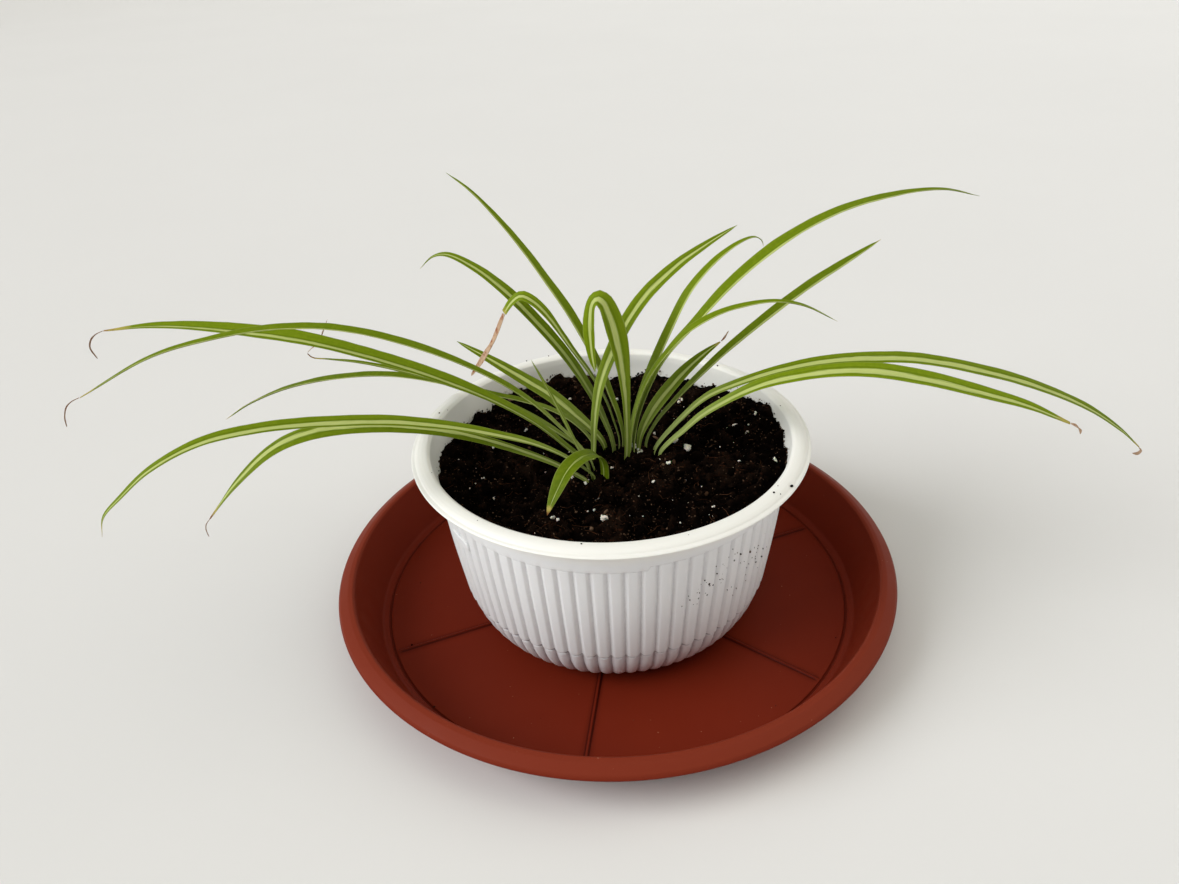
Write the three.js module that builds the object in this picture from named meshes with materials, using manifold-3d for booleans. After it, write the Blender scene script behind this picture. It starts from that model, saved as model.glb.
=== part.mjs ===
// A spider plant in a fluted bowl pot that stands in a round saucer.
// Millimetres, +Z up. The origin is on the surface the saucer rests on, on the pot's axis.
import * as THREE from 'three';
import { mergeVertices } from 'three/addons/utils/BufferGeometryUtils.js';
import Module from 'manifold-3d';

// ---------------------------------------------------------------- driving dimensions
const GAP = 0.3; // clearance between pieces that touch

// saucer
const SAUCER_CENTRE_Y = 3.3; // the pot stands a little off the saucer's centre
const SAUCER_RADIUS = 151.3;
const SAUCER_HEIGHT = 28.7;
const SAUCER_FLOOR_TOP = 2.4;
const SAUCER_FLOOR_RADIUS = 126;
const SAUCER_SIDES = 72;
const RIB_COUNT = 6;
const RIB_FIRST_ANGLE = 22; // degrees from +X
const RIB_WIDTH = 2.4;
const RIB_HEIGHT = 0.8;
const RIB_INNER_RADIUS = 14;
const RIB_SINK = 1;

// pot
const POT_FOOT_Z = SAUCER_FLOOR_TOP + RIB_HEIGHT + GAP;
const POT_RIM_RADIUS = 100;
const POT_RIM_HEIGHT = 107;
const POT_BAND_BOTTOM = 88; // the flutes end here, under a smooth band
const POT_FLOOR_TOP = 7;
const FLUTE_COUNT = 72;
const FLUTE_DEPTH = 1.3;

// soil
const SOIL_TOP = 92;
const SOIL_RADIUS = 85.6;
const SOIL_RIGHT_RISE = 7; // how much higher the soil lies along the pot's right wall
const SOIL_LUMP = 1.1;
const SOIL_SIDES = 60;
const SOIL_RISE_START = 20; // the bank begins this far to the right of the pot's axis
const POCKET_FLARE = 4; // how far a crown's planting hole opens out toward the soil surface
const POCKET_HEADROOM = 14; // how far the cut for the hole reaches above the soil's level

// crowns, the short stem bases that the leaves grow from
const CROWN_TOP = 88;
const CROWN_DEPTH = 18;
const CROWN_SIDES = 20;

// leaves
const LEAF_START = CROWN_TOP + GAP;
const LEAF_THICKNESS = 0.7;
const LEAF_STEPS = 20;
const DRY_TIP_STEPS = 8;
const BASE_WIDTH = 0.32; // width at the crown, as a share of the widest place
const LATE_WIDENING = 1.4; // over 1, a blade stays narrow for longer above the crown
const TIP_WIDTH = 0.1;
const FOLD_LENGTH = 0.25; // share of the leaf over which the midrib fold opens

// ---------------------------------------------------------------- materials
function paint(color, roughness) {
  return new THREE.MeshStandardMaterial({ color, roughness, metalness: 0 });
}

const POT_PLASTIC = paint(0xe9e7e2, 0.45);
const SAUCER_PLASTIC = paint(0x7a2a1c, 0.5);
const PEAT = paint(0x1d130d, 0.95);
const CROWN_TISSUE = paint(0xb9bd86, 0.6);
const LEAF_GREEN = paint(0x6f8f2a, 0.45);
const DRY_LEAF = paint(0x9a7350, 0.8);

// ---------------------------------------------------------------- solids
const wasm = await Module();
wasm.setup();

// One closed solid from a geometry: shared corners welded, empty faces dropped, and the faces
// turned outward.
function closed(geometry) {
  const bare = geometry.clone();
  bare.deleteAttribute('normal');
  bare.deleteAttribute('uv');
  const welded = mergeVertices(bare, 1e-4);
  const at = welded.getAttribute('position');
  const corner = (i) => new THREE.Vector3().fromBufferAttribute(at, i);
  const faces = [];
  let volume = 0;
  for (let k = 0; k < welded.index.count; k += 3) {
    const [a, b, c] = [0, 1, 2].map((n) => welded.index.getX(k + n));
    if (a === b || b === c || c === a) continue;
    faces.push([a, b, c]);
    volume += corner(a).dot(corner(b).cross(corner(c)));
  }
  welded.setIndex(faces.map((f) => (volume > 0 ? f : [f[0], f[2], f[1]])).flat());
  return welded;
}

function toManifold(geometry) {
  const solid = closed(geometry);
  return new wasm.Manifold(new wasm.Mesh({
    numProp: 3,
    vertProperties: new Float32Array(solid.getAttribute('position').array),
    triVerts: new Uint32Array(solid.index.array),
  }));
}

function fromManifold(manifold) {
  const mesh = manifold.getMesh();
  const geometry = new THREE.BufferGeometry();
  geometry.setAttribute('position', new THREE.BufferAttribute(mesh.vertProperties, 3));
  geometry.setIndex(new THREE.BufferAttribute(mesh.triVerts, 1));
  return geometry;
}

// A turned solid about the Z axis from [radius, height] points.
function turned(profile, sides) {
  const points = profile.map(([radius, height]) => new THREE.Vector2(radius, height));
  return new THREE.LatheGeometry(points, sides).rotateX(Math.PI / 2);
}

// Moves every corner of a geometry by a function of its place and its number.
function reshape(geometry, move) {
  const at = geometry.getAttribute('position');
  const corner = new THREE.Vector3();
  for (let i = 0; i < at.count; i += 1) {
    move(corner.fromBufferAttribute(at, i), i);
    at.setXYZ(i, corner.x, corner.y, corner.z);
  }
  return geometry;
}

function piece(name, geometry, material) {
  const mesh = new THREE.Mesh(geometry, material);
  mesh.name = name;
  return mesh;
}

// ---------------------------------------------------------------- saucer
function makeSaucer() {
  const profile = [
    [0, SAUCER_FLOOR_TOP],
    [SAUCER_FLOOR_RADIUS, SAUCER_FLOOR_TOP],
    [SAUCER_FLOOR_RADIUS + 1.3, SAUCER_FLOOR_TOP - 0.5],
    [SAUCER_FLOOR_RADIUS + 2.5, SAUCER_FLOOR_TOP + 0.2],
    [132, 6],
    [141, 26],
    [143, SAUCER_HEIGHT],
    [145.5, SAUCER_HEIGHT - 0.4],
    [150, 25.2],
    [SAUCER_RADIUS, 23.8],
    [150.4, 22.4],
    [146.5, 22.6],
    [143, 21.5],
    [133.5, 2],
    [131, 0],
    [0, 0],
  ];
  let saucer = toManifold(turned(profile, SAUCER_SIDES));
  const ribLength = SAUCER_FLOOR_RADIUS - RIB_INNER_RADIUS;
  for (let n = 0; n < RIB_COUNT; n += 1) {
    const rib = new THREE.BoxGeometry(ribLength, RIB_WIDTH, RIB_HEIGHT + RIB_SINK);
    rib.translate(
      RIB_INNER_RADIUS + ribLength / 2,
      0,
      SAUCER_FLOOR_TOP + (RIB_HEIGHT - RIB_SINK) / 2,
    );
    rib.rotateZ(THREE.MathUtils.degToRad(RIB_FIRST_ANGLE + (n * 360) / RIB_COUNT));
    saucer = saucer.add(toManifold(rib));
  }
  const mesh = piece('saucer', fromManifold(saucer), SAUCER_PLASTIC);
  mesh.position.y = SAUCER_CENTRE_Y;
  return mesh;
}

// ---------------------------------------------------------------- pot
// Foot, fluted wall, band, rolled rim and inner wall in one turn. Every second column of the
// fluted wall is drawn in, which leaves a flute's land on either side of it.
function makePot() {
  const foot = [[0, POT_FOOT_Z], [63, POT_FOOT_Z], [67.5, 5.5]];
  const flutedWall = [[73, 10], [77.5, 16], [83, 40], [88.2, 80], [89.2, POT_BAND_BOTTOM - 0.8]];
  const rim = [
    [89.6, POT_BAND_BOTTOM],
    [90.2, 101],
    [92, 103.4],
    [98.8, 103.4],
    [POT_RIM_RADIUS, 104.2],
    [98.2, 105],
    [95.8, 106.6],
    [91.6, POT_RIM_HEIGHT],
    [90, 105.2],
  ];
  const innerWall = [
    [87, 96],
    [80.8, 42],
    [75, 18],
    [63, POT_FLOOR_TOP],
    [0, POT_FLOOR_TOP],
  ];
  const profile = [...foot, ...flutedWall, ...rim, ...innerWall];
  const body = reshape(turned(profile, FLUTE_COUNT * 2), (corner, index) => {
    const row = index % profile.length;
    const column = Math.floor(index / profile.length);
    const fluted = row >= foot.length && row < foot.length + flutedWall.length;
    if (!fluted || column % 2 === 0) return;
    const inset = 1 - FLUTE_DEPTH / Math.hypot(corner.x, corner.y);
    corner.x *= inset;
    corner.y *= inset;
  });
  return piece('pot', closed(body), POT_PLASTIC);
}

// ---------------------------------------------------------------- crowns
// centre, half width along X and half width along Y of each crown
const CROWNS = {
  crown_front_left: { centre: [-8, -19], half: [8, 11.5] },
  crown_back_left: { centre: [-7.5, 3], half: [7.5, 9.5] },
  crown_middle: { centre: [8.3, 1], half: [7.3, 9] },
  crown_right: { centre: [22, 2.5], half: [5.3, 7.5] },
};

// A turned stub of unit radius, stretched to the crown's oval and set in place.
function crownStub({ centre, half }, profile) {
  return turned(profile, CROWN_SIDES).scale(half[0], half[1], 1).translate(centre[0], centre[1], 0);
}

function makeCrown(name) {
  const bottom = CROWN_TOP - CROWN_DEPTH;
  const profile = [
    [0, bottom],
    [0.6, bottom + 1],
    [0.9, bottom + 6],
    [1, CROWN_TOP - 2],
    [0.96, CROWN_TOP],
    [0, CROWN_TOP],
  ];
  return piece(name, closed(crownStub(CROWNS[name], profile)), CROWN_TISSUE);
}

// The planting hole of a crown: its own shape with the gap round it, open to the surface.
function crownPocket({ centre, half }) {
  const bottom = CROWN_TOP - CROWN_DEPTH - GAP;
  const grown = { centre, half: half.map((size) => size + GAP) };
  const mouth = 1 + POCKET_FLARE / Math.min(...half);
  const above = SOIL_TOP + POCKET_HEADROOM;
  const profile = [
    [0, bottom],
    [0.6, bottom + 1],
    [0.9, bottom + 6],
    [1, CROWN_TOP - 2],
    [mouth, above],
    [0, above],
  ];
  return toManifold(crownStub(grown, profile));
}

// ---------------------------------------------------------------- soil
// Height of the soil surface over its level: low lumps, and a bank along the right wall.
function soilRelief(x, y) {
  const broad = Math.sin(x * 0.13 + 1.3) * Math.cos(y * 0.11 - 0.4);
  const fine = 0.7 * Math.sin(x * 0.29 + y * 0.21);
  const bank = Math.max(0, x - SOIL_RISE_START) / (SOIL_RADIUS - SOIL_RISE_START);
  return SOIL_LUMP * (broad + fine) + SOIL_RIGHT_RISE * bank * bank;
}

function makeSoil() {
  const top = [0, 12, 24, 36, 48, 60, 70, 78, SOIL_RADIUS].map((radius) => [radius, SOIL_TOP]);
  const bottom = POT_FLOOR_TOP + GAP;
  const side = [[85.3, 84], [80.2, 42.5], [74.4, 18.5], [62.6, bottom], [0, bottom]];
  const body = reshape(turned([...top, ...side], SOIL_SIDES), (corner) => {
    if (corner.z > SOIL_TOP - 1) corner.z += soilRelief(corner.x, corner.y);
  });
  let soil = toManifold(body);
  for (const crown of Object.values(CROWNS)) soil = soil.subtract(crownPocket(crown));
  return piece('soil', fromManifold(soil), PEAT);
}

// ---------------------------------------------------------------- leaves
// Each leaf runs in the upright plane through its root with the given heading (degrees from +X).
// path: [reach, height] of the midrib from the crown to the tip.
// width: at the widest place, which lies at the share `widest` of the length.
// fold: how far each half is lifted from flat along the midrib, in degrees.
// roll: how the blade leans about its own midrib, in degrees, from the crown to the tip.
const LEAVES = {
  leaf_left_1: {
    root: [-11, -12.5], heading: 171, width: 10, widest: 0.6, fold: 15, roll: [-12],
    path: [
      [1, 96], [11, 106], [24, 118], [43, 130], [72, 143], [106, 154], [140, 162], [176, 166],
      [214, 167], [246, 163],
    ],
  },
  leaf_left_2: {
    root: [-8, -11], heading: 180, width: 8, widest: 0.45, fold: 28, roll: [0],
    path: [
      [2, 97], [8, 107], [16, 117], [28, 131], [45, 145], [67, 158], [93, 169], [120, 176],
      [147, 177], [176, 173], [207, 165], [247, 145],
    ],
  },
  leaf_left_3: {
    root: [-8, 4], heading: 157, width: 8, widest: 0.6, fold: 28, roll: [0],
    path: [
      [1, 98], [9, 107], [21, 113], [38, 116], [60, 117], [90, 119], [121, 118], [156, 111],
      [195, 98], [229, 81], [253, 65],
    ],
  },
  leaf_left_4: {
    root: [-12, 1], heading: 169, width: 5.5, widest: 0.3, fold: 20, roll: [0],
    path: [
      [2, 95], [14, 105], [34, 117], [54, 125], [75, 132], [95, 137], [117, 140.5], [134, 141.5],
      [143, 142], [145, 144],
    ],
  },
  leaf_left_5: {
    root: [-7.5, -22], heading: 199, width: 9, widest: 0.65, fold: 15, roll: [-14],
    path: [
      [1, 95], [6, 101], [15, 110], [28, 120], [46, 130], [68, 140], [94, 149], [123, 155],
      [148, 158], [172, 157], [194, 149], [208, 139], [217, 131], [220, 122],
    ],
  },
  leaf_left_6: {
    root: [-11, -27], heading: 191, width: 8.5, widest: 0.7, fold: 15, roll: [-28, -28, -28, 5],
    path: [
      [1, 95], [6, 100], [16, 108], [32, 118], [55, 130], [78, 138], [103, 143], [125, 143],
      [143, 137], [162, 122], [177, 106],
    ],
  },
  leaf_left_7: {
    root: [-2, 7], heading: 153, width: 8, widest: 0.4, fold: 15, roll: [-25],
    path: [[2, 96], [9, 103], [19, 110], [32, 118], [49, 125], [67, 132], [87, 139]],
  },
  leaf_left_8: {
    root: [-9, -17.5], heading: 184, width: 5, widest: 0.4, fold: 20, roll: [-10],
    path: [[3, 100], [8, 112], [13, 126], [19, 142], [26, 159]],
  },
  leaf_left_9: {
    root: [-4, -20], heading: 235, width: 9, widest: 0.6, fold: 12, roll: [0],
    path: [
      [-1, 95], [0, 102], [5, 109], [14, 113.5], [24, 114.5], [32, 112], [38, 107], [43, 102],
      [46, 98],
    ],
  },
  leaf_top_1: {
    root: [6.4, 5.5], heading: 155, width: 7.5, widest: 0.35, fold: 25, roll: [0],
    path: [
      [-0.5, 100], [2, 113], [5, 122], [10, 136], [17, 150], [27, 167], [41, 186], [58, 206],
      [75, 222], [88, 230],
    ],
  },
  leaf_top_2: {
    root: [2.2, 3.5], heading: 160, width: 7.5, widest: 0.5, fold: 15, roll: [-25, -20, -15],
    path: [
      [1, 99], [5, 111], [11, 125], [22, 143], [38, 162], [55, 178], [70, 188], [84, 193],
      [92, 191], [100, 184],
    ],
  },
  leaf_top_3: {
    root: [4.4, 5], heading: 171, width: 6, widest: 0.8, fold: 15, roll: [0, 0, -10, -50],
    tip: 0.6,
    path: [
      [-0.5, 99], [2, 110], [6, 123], [13, 137], [22, 151], [33, 169], [40, 176], [45, 178],
      [50, 174.5], [54, 169],
    ],
  },
  leaf_top_4: {
    root: [8, -4.5], heading: 172, width: 9.5, widest: 0.55, fold: 10, tip: 0.3,
    roll: [-65, -70, -72, -65, -25, -55, -50],
    path: [
      [-1, 104], [-1, 118], [-0.8, 130], [0, 144], [1.2, 155], [3, 165], [5.6, 174], [8.5, 180.5],
      [12, 182], [15, 179], [16.8, 170], [17, 162], [16, 153], [14, 145],
    ],
  },
  leaf_right_1: {
    root: [-9, -2.5], heading: 42, width: 8, widest: 0.55, fold: 15, roll: [20, 15, 10],
    path: [
      [1, 100], [2, 112], [4, 123], [7, 133], [13, 144], [24, 158], [39, 170], [61, 179],
      [83, 184], [108, 188],
    ],
  },
  leaf_right_2: {
    root: [9, 6], heading: 30, width: 6.5, widest: 0.4, fold: 28, roll: [5],
    path: [
      [2, 100], [5, 111], [10, 123], [17, 137], [26, 153], [39, 172], [55, 184], [71, 190],
      [79, 190], [83, 187], [84, 184],
    ],
  },
  leaf_right_3: {
    root: [11.9, 0.5], heading: 25, width: 8, widest: 0.45, fold: 25, roll: [5],
    path: [
      [1, 103], [4, 116], [10, 130], [19, 144], [34, 157], [55, 174], [84, 190], [119, 200],
      [156, 202], [187, 199], [212, 191],
    ],
  },
  leaf_right_4: {
    root: [19, 5], heading: 28, width: 7, widest: 0.55, fold: 20, roll: [10],
    path: [[0, 97], [6, 107], [18, 117], [39, 131], [63, 144], [97, 159], [121, 167], [147, 175]],
  },
  leaf_right_5: {
    root: [10.2, 0.5], heading: 8, width: 6.5, widest: 0.35, fold: 28, roll: [0],
    path: [
      [1, 103], [4, 119], [10, 135], [19, 148], [30, 159], [43, 166], [58, 169.5], [73, 170],
      [88, 166], [105, 156],
    ],
  },
  leaf_right_6: {
    root: [14.2, 1.5], heading: 25, width: 8, widest: 0.5, fold: 15, roll: [0, 20, 20],
    path: [[2, 103], [8, 114], [17, 124], [29, 134], [40, 140.5], [48, 144]],
  },
  leaf_right_7: {
    root: [25, -0.5], heading: -7, width: 9.5, widest: 0.65, fold: 12, roll: [22],
    path: [
      [1, 94], [6, 100.5], [12, 106.5], [20.5, 115.5], [32.5, 124.5], [45, 132], [57.5, 137],
      [80, 142], [101, 143], [124, 139.5], [155, 131.5], [176, 125], [196, 116],
    ],
  },
  leaf_right_8: {
    root: [21.5, 2.5], heading: 3, width: 8.5, widest: 0.6, fold: 14, roll: [20],
    path: [
      [2.3, 95], [6, 100.5], [11, 106.5], [16, 112], [23, 119], [30, 124], [41, 128.5], [52, 132],
      [65.5, 135.5], [87.5, 138.5], [110, 138.5], [132, 136.5], [162, 129], [198, 116],
      [227.5, 101], [248.5, 86], [261.6, 74],
    ],
  },
};

// The dead ends of some leaves, in the same plane as the leaf each one belongs to.
const DRY_TIPS = {
  leaf_left_1: {
    width: 1.6,
    path: [[246.8, 162.8], [251, 161], [255, 157.5], [257, 153], [255, 147]],
  },
  leaf_left_2: {
    width: 1.8,
    path: [[247.8, 144.8], [252, 143], [255.5, 140], [258, 135], [259, 129]],
  },
  leaf_left_4: {
    width: 1.2,
    path: [[144.8, 144.9], [142.5, 147], [139, 149.5], [136, 153], [134, 157], [130, 164]],
  },
  leaf_left_6: {
    width: 1.4,
    path: [[177.6, 105.2], [179.5, 103], [180.3, 100], [180, 96]],
  },
  leaf_top_3: {
    width: 4, roll: [-50],
    path: [[54.3, 168], [57, 162], [61, 153.5], [66, 145.5], [73, 136]],
  },
  leaf_right_6: {
    width: 1.5,
    path: [[48.8, 144.3], [50.5, 145.6], [53, 149]],
  },
  leaf_right_7: {
    width: 3,
    path: [[196.8, 115.6], [199, 114.6], [201, 113], [202, 110]],
  },
  leaf_right_8: {
    width: 2.2,
    path: [[261.9, 73.4], [263, 71.8], [261.7, 70.1], [258.7, 70.4]],
  },
};

const mix = THREE.MathUtils.lerp;

// A value from an evenly spaced list at the share u of the length.
function along(list, u) {
  const spot = u * (list.length - 1);
  const index = Math.min(Math.floor(spot), list.length - 2);
  return list.length === 1 ? list[0] : mix(list[index], list[index + 1], spot - index);
}

function leafWidth({ width, widest, base = BASE_WIDTH, tip = TIP_WIDTH }, u) {
  const grown = Math.sin(Math.min(u / widest, 1) * (Math.PI / 2)) ** LATE_WIDENING;
  if (u < widest) return width * mix(base, 1, grown);
  return width * mix(1, tip, ((u - widest) / (1 - widest)) ** 2.2);
}

// A blade with a V section: a box of LEAF_STEPS by two, bent on to the midrib.
function bladeGeometry(leaf, steps) {
  const heading = THREE.MathUtils.degToRad(leaf.heading);
  const ahead = new THREE.Vector3(Math.cos(heading), Math.sin(heading), 0);
  const side = new THREE.Vector3(-Math.sin(heading), Math.cos(heading), 0);
  const root = new THREE.Vector3(leaf.root[0], leaf.root[1], 0);
  const place = ([reach, height]) => root.clone().addScaledVector(ahead, reach).setZ(height);
  const midrib = new THREE.CatmullRomCurve3(leaf.path.map(place), false, 'centripetal');
  const blade = new THREE.BoxGeometry(1, 1, 1, steps, 2, 1);
  return reshape(blade, (corner) => {
    const u = corner.x + 0.5;
    const tangent = midrib.getTangentAt(u);
    const upper = tangent.clone().cross(side).normalize();
    const lean = THREE.MathUtils.degToRad(along(leaf.roll, u));
    const across = side.clone().applyAxisAngle(tangent, lean);
    upper.applyAxisAngle(tangent, lean);
    const open = leaf.fold * Math.min(1, 0.25 + u / FOLD_LENGTH);
    const fold = THREE.MathUtils.degToRad(open);
    const half = leafWidth(leaf, u) * corner.y;
    const lift = Math.abs(half) * Math.sin(fold) - (leafWidth(leaf, u) / 4) * Math.sin(fold);
    const level = lift + (corner.z * LEAF_THICKNESS) / Math.cos(fold);
    const spine = midrib.getPointAt(u);
    corner.copy(spine).addScaledVector(across, half * Math.cos(fold)).addScaledVector(upper, level);
  });
}

function makeLeaf(name) {
  const leaf = LEAVES[name];
  const path = [[0, LEAF_START], ...leaf.path];
  return piece(name, closed(bladeGeometry({ ...leaf, path }, LEAF_STEPS)), LEAF_GREEN);
}

function makeDryTip(name) {
  const { root, heading } = LEAVES[name];
  const shape = { widest: 0.45, base: 0.6, tip: 0.3, fold: 10, roll: [0] };
  const tip = { root, heading, ...shape, ...DRY_TIPS[name] };
  return piece(`${name}_dry_tip`, closed(bladeGeometry(tip, DRY_TIP_STEPS)), DRY_LEAF);
}

// ---------------------------------------------------------------- the whole plant
const plant = new THREE.Group();
plant.add(makeSaucer(), makePot(), makeSoil());
plant.add(...Object.keys(CROWNS).map(makeCrown));
plant.add(...Object.keys(LEAVES).map(makeLeaf));
plant.add(...Object.keys(DRY_TIPS).map(makeDryTip));

export default plant;
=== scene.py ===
"""The looks of a potted spider plant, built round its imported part.

Lengths are in millimetres, in the part's own frame, until add_piece() turns them into metres.
"""

import math

import bmesh
import bpy
import numpy as np
from mathutils import Matrix, Vector


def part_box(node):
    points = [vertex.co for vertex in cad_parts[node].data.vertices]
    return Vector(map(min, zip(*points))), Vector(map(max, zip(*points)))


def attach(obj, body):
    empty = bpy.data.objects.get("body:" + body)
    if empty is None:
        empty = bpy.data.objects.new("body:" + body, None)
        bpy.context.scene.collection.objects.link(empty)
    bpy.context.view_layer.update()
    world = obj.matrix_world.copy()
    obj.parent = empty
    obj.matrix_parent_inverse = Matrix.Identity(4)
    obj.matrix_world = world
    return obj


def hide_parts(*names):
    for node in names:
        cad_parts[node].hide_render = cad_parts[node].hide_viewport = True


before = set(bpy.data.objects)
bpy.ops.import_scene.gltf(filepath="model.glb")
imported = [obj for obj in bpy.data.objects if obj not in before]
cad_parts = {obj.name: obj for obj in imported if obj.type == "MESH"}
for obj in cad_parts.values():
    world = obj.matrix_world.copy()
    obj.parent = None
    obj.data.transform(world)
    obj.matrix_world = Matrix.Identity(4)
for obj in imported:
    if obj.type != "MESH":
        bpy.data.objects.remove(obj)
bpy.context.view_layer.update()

MM = 0.001
BODY = "root"

# ------------------------------------------------------------------ driving sizes
# camera, as a phone held in front of the plant
CAMERA_PLACE = (0, -414.3, 357.6)
CAMERA_YAW, CAMERA_PITCH, CAMERA_ROLL = -1.445, 31.745, -3.079
CAMERA_FOCAL = 951.5  # in pixels of the picture
PICTURE_WIDTH = 1179

# pot
FLUTES = 72
FLUTE_PITCH = 360 / FLUTES
FIRST_GROOVE = -90 + FLUTE_PITCH / 2
GROOVE_HALF = 1.75
GROOVE_DEPTH = 1.3
LAND_CROWN = 0.08
RIB_DEPTH = 1.7  # the rounder ribs under the step line
STEP_LINE = 29.8
STEP_WAVE = 0.9
STEP_INSET = 0.6
STEP_CUT = 0.5  # the fine groove along the step line
STEP_CUT_HALF = 0.8  # how far that groove reaches up and down
POT_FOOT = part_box("pot")[0].z / MM
BAND_LOW, BAND_HIGH = 88.0, 90.2  # lower edge of the smooth band, on the two mould halves
BAND_PROUD = 0.3
BAND_CUT = 0.2  # the fine groove under the band
BAND_SPLIT = -80.7  # degrees, where the mould halves meet
RIM_OVAL = 0.55  # how far the thin rim is out of round
RIM_WOBBLE = 0.25
POT_INNER_FLOOR = 7
MARK_ANGLE, MARK_HEIGHT = -147.5, 77.5  # the bare raised bar under the band
MARK_HALF_LONG, MARK_HALF_HIGH, MARK_PROUD = 8.2, 3.0, 0.8

# saucer
SAUCER_CENTRE = (0, 3.3, 0)
SAUCER_FLOOR = 2.4
SAUCER_FLOOR_START = 14  # radius where the moulding's rows begin
RING_GROOVE = 127.05  # radius of the fine groove round the floor
SAUCER_RIBS = 6
SAUCER_RIB_START = 22
SAUCER_RIB_HALF = 0.85
SAUCER_RIB_RISE = 0.8
SAUCER_WARP = 0.35

# soil
SOIL_LEVEL = 92
SOIL_LUMP = 1.1
SOIL_RISE = 7
SOIL_RISE_START = 20
SOIL_RADIUS = 86.4
INNER_WALL_RADIUS, INNER_WALL_Z, INNER_WALL_SLOPE = 88.75, 96, 0.165
SOIL_TOP_LIMIT = 103
SOIL_UNDERSIDE = 60
SOIL_GRID = 281  # points along each side of the soil's grid

# leaves
CROWN_TOP = 88.3
LEAF_THICKNESS = 0.5
BASE_WIDTH = 0.32  # width at the crown, as a share of the widest place
LATE_WIDENING = 1.4
FOLD_LENGTH = 0.25
POINT_LENGTH = 0.035  # share of the length in which a green end narrows to its point
VEIN_HEIGHT = 0.035
EDGE_CURL = 0.07  # how far the margins turn down, as a share of the half width
DRY_TIP_NUMBERS = 40  # the dry tips are numbered from here, for their noise

# floor and backdrop, in metres
FLOOR_SIDES = 96
BACKDROP_START, BACKDROP_DEPTH, BACKDROP_HEIGHT = 3.6, 2.4, 2.1


# ------------------------------------------------------------------ numbers and outlines
def lattice(x, y, z, seed):
    """A repeatable value from 0 to 1 for each whole-number place."""
    mixed = (x * 374761393 + y * 668265263 + z * 2147483647 + seed * 1274126177) & 0xFFFFFFFF
    mixed = ((mixed ^ (mixed >> 13)) * 1274126177) & 0xFFFFFFFF
    return ((mixed ^ (mixed >> 16)) & 0xFFFFFF) / 0xFFFFFF


def noise(points, size, seed=0):
    """Smooth noise from -1 to 1 at (n, 3) points, with lumps about `size` across."""
    scaled = np.asarray(points, float) / size
    cell = np.floor(scaled).astype(np.int64)
    part = scaled - cell
    part = part * part * (3 - 2 * part)
    total = np.zeros(len(scaled))
    for corner in range(8):
        step = np.array([corner & 1, corner >> 1 & 1, corner >> 2 & 1])
        weight = np.where(step == 1, part, 1 - part).prod(axis=1)
        total += weight * lattice(*(cell + step).T, seed)
    return total * 2 - 1


def smoothstep(low, high, value):
    share = np.clip((value - low) / (high - low), 0, 1)
    return share * share * (3 - 2 * share)


def rounded(corners, degrees_a_step):
    """An outline through (across, up, radius) corners, each turned by an arc of its radius."""
    outline = []
    for i, (across, up, radius) in enumerate(corners):
        here = np.array([across, up], float)
        if radius == 0 or i in (0, len(corners) - 1):
            outline.append(here)
            continue
        before = np.array(corners[i - 1][:2]) - here
        after = np.array(corners[i + 1][:2]) - here
        before /= np.linalg.norm(before)
        after /= np.linalg.norm(after)
        turn = math.pi - math.acos(np.clip(before @ after, -1, 1))
        middle = (before + after) / np.linalg.norm(before + after)
        centre = here + middle * (radius / math.cos(turn / 2))
        first = here + before * radius * math.tan(turn / 2) - centre
        last = here + after * radius * math.tan(turn / 2) - centre
        steps = max(2, round(math.degrees(turn) / degrees_a_step))
        for share in np.linspace(0, 1, steps + 1):
            arm = math.sin((1 - share) * turn) * first + math.sin(share * turn) * last
            outline.append(centre + arm / math.sin(turn))
    return np.array(outline)


def curve_through(points, steps=24):
    """A smooth line through points: a centripetal Catmull-Rom curve, as the part's leaves have."""
    points = np.asarray(points, float)
    ends = [2 * points[0] - points[1], 2 * points[-1] - points[-2]]
    padded = np.vstack([ends[0], points, ends[1]])
    line = []
    t = np.linspace(0, 1, steps, endpoint=False)[:, None]
    for p0, p1, p2, p3 in zip(padded, padded[1:], padded[2:], padded[3:]):
        d0, d1, d2 = (math.sqrt(np.linalg.norm(b - a)) for a, b in ((p0, p1), (p1, p2), (p2, p3)))
        t1 = ((p1 - p0) / d0 - (p2 - p0) / (d0 + d1) + (p2 - p1) / d1) * d1
        t2 = ((p2 - p1) / d1 - (p3 - p1) / (d1 + d2) + (p3 - p2) / d2) * d1
        square = -3 * p1 + 3 * p2 - 2 * t1 - t2
        line.append(p1 + t1 * t + square * t**2 + (2 * p1 - 2 * p2 + t1 + t2) * t**3)
    return np.vstack([*line, points[-1:]])


def walk(line, count):
    """Evenly spaced points along a line, their directions, and how far along each one is."""
    far = np.concatenate([[0], np.cumsum(np.linalg.norm(np.diff(line, axis=0), axis=1))])
    at = np.linspace(0, far[-1], count)
    points = np.stack([np.interp(at, far, line[:, k]) for k in range(line.shape[1])], axis=1)
    ahead = np.gradient(points, axis=0)
    return points, ahead / np.linalg.norm(ahead, axis=1, keepdims=True), at


def circle_row(radius, turn, height):
    """Points round the axis at these radii, angles in radians and heights."""
    up = np.broadcast_to(height, np.shape(turn))
    return np.stack([radius * np.cos(turn), radius * np.sin(turn), up], axis=-1)


# ------------------------------------------------------------------ meshes
def grid_faces(rows, columns, wrap_columns=True):
    """Four-cornered faces between the rows of corners of a grid."""
    row = np.arange(rows - 1)[:, None] * columns
    column = np.arange(columns if wrap_columns else columns - 1)[None, :]
    beside = (column + 1) % columns
    faces = [row + column, row + beside, row + columns + beside, row + columns + column]
    return np.stack(faces, axis=-1).reshape(-1, 4)


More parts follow.
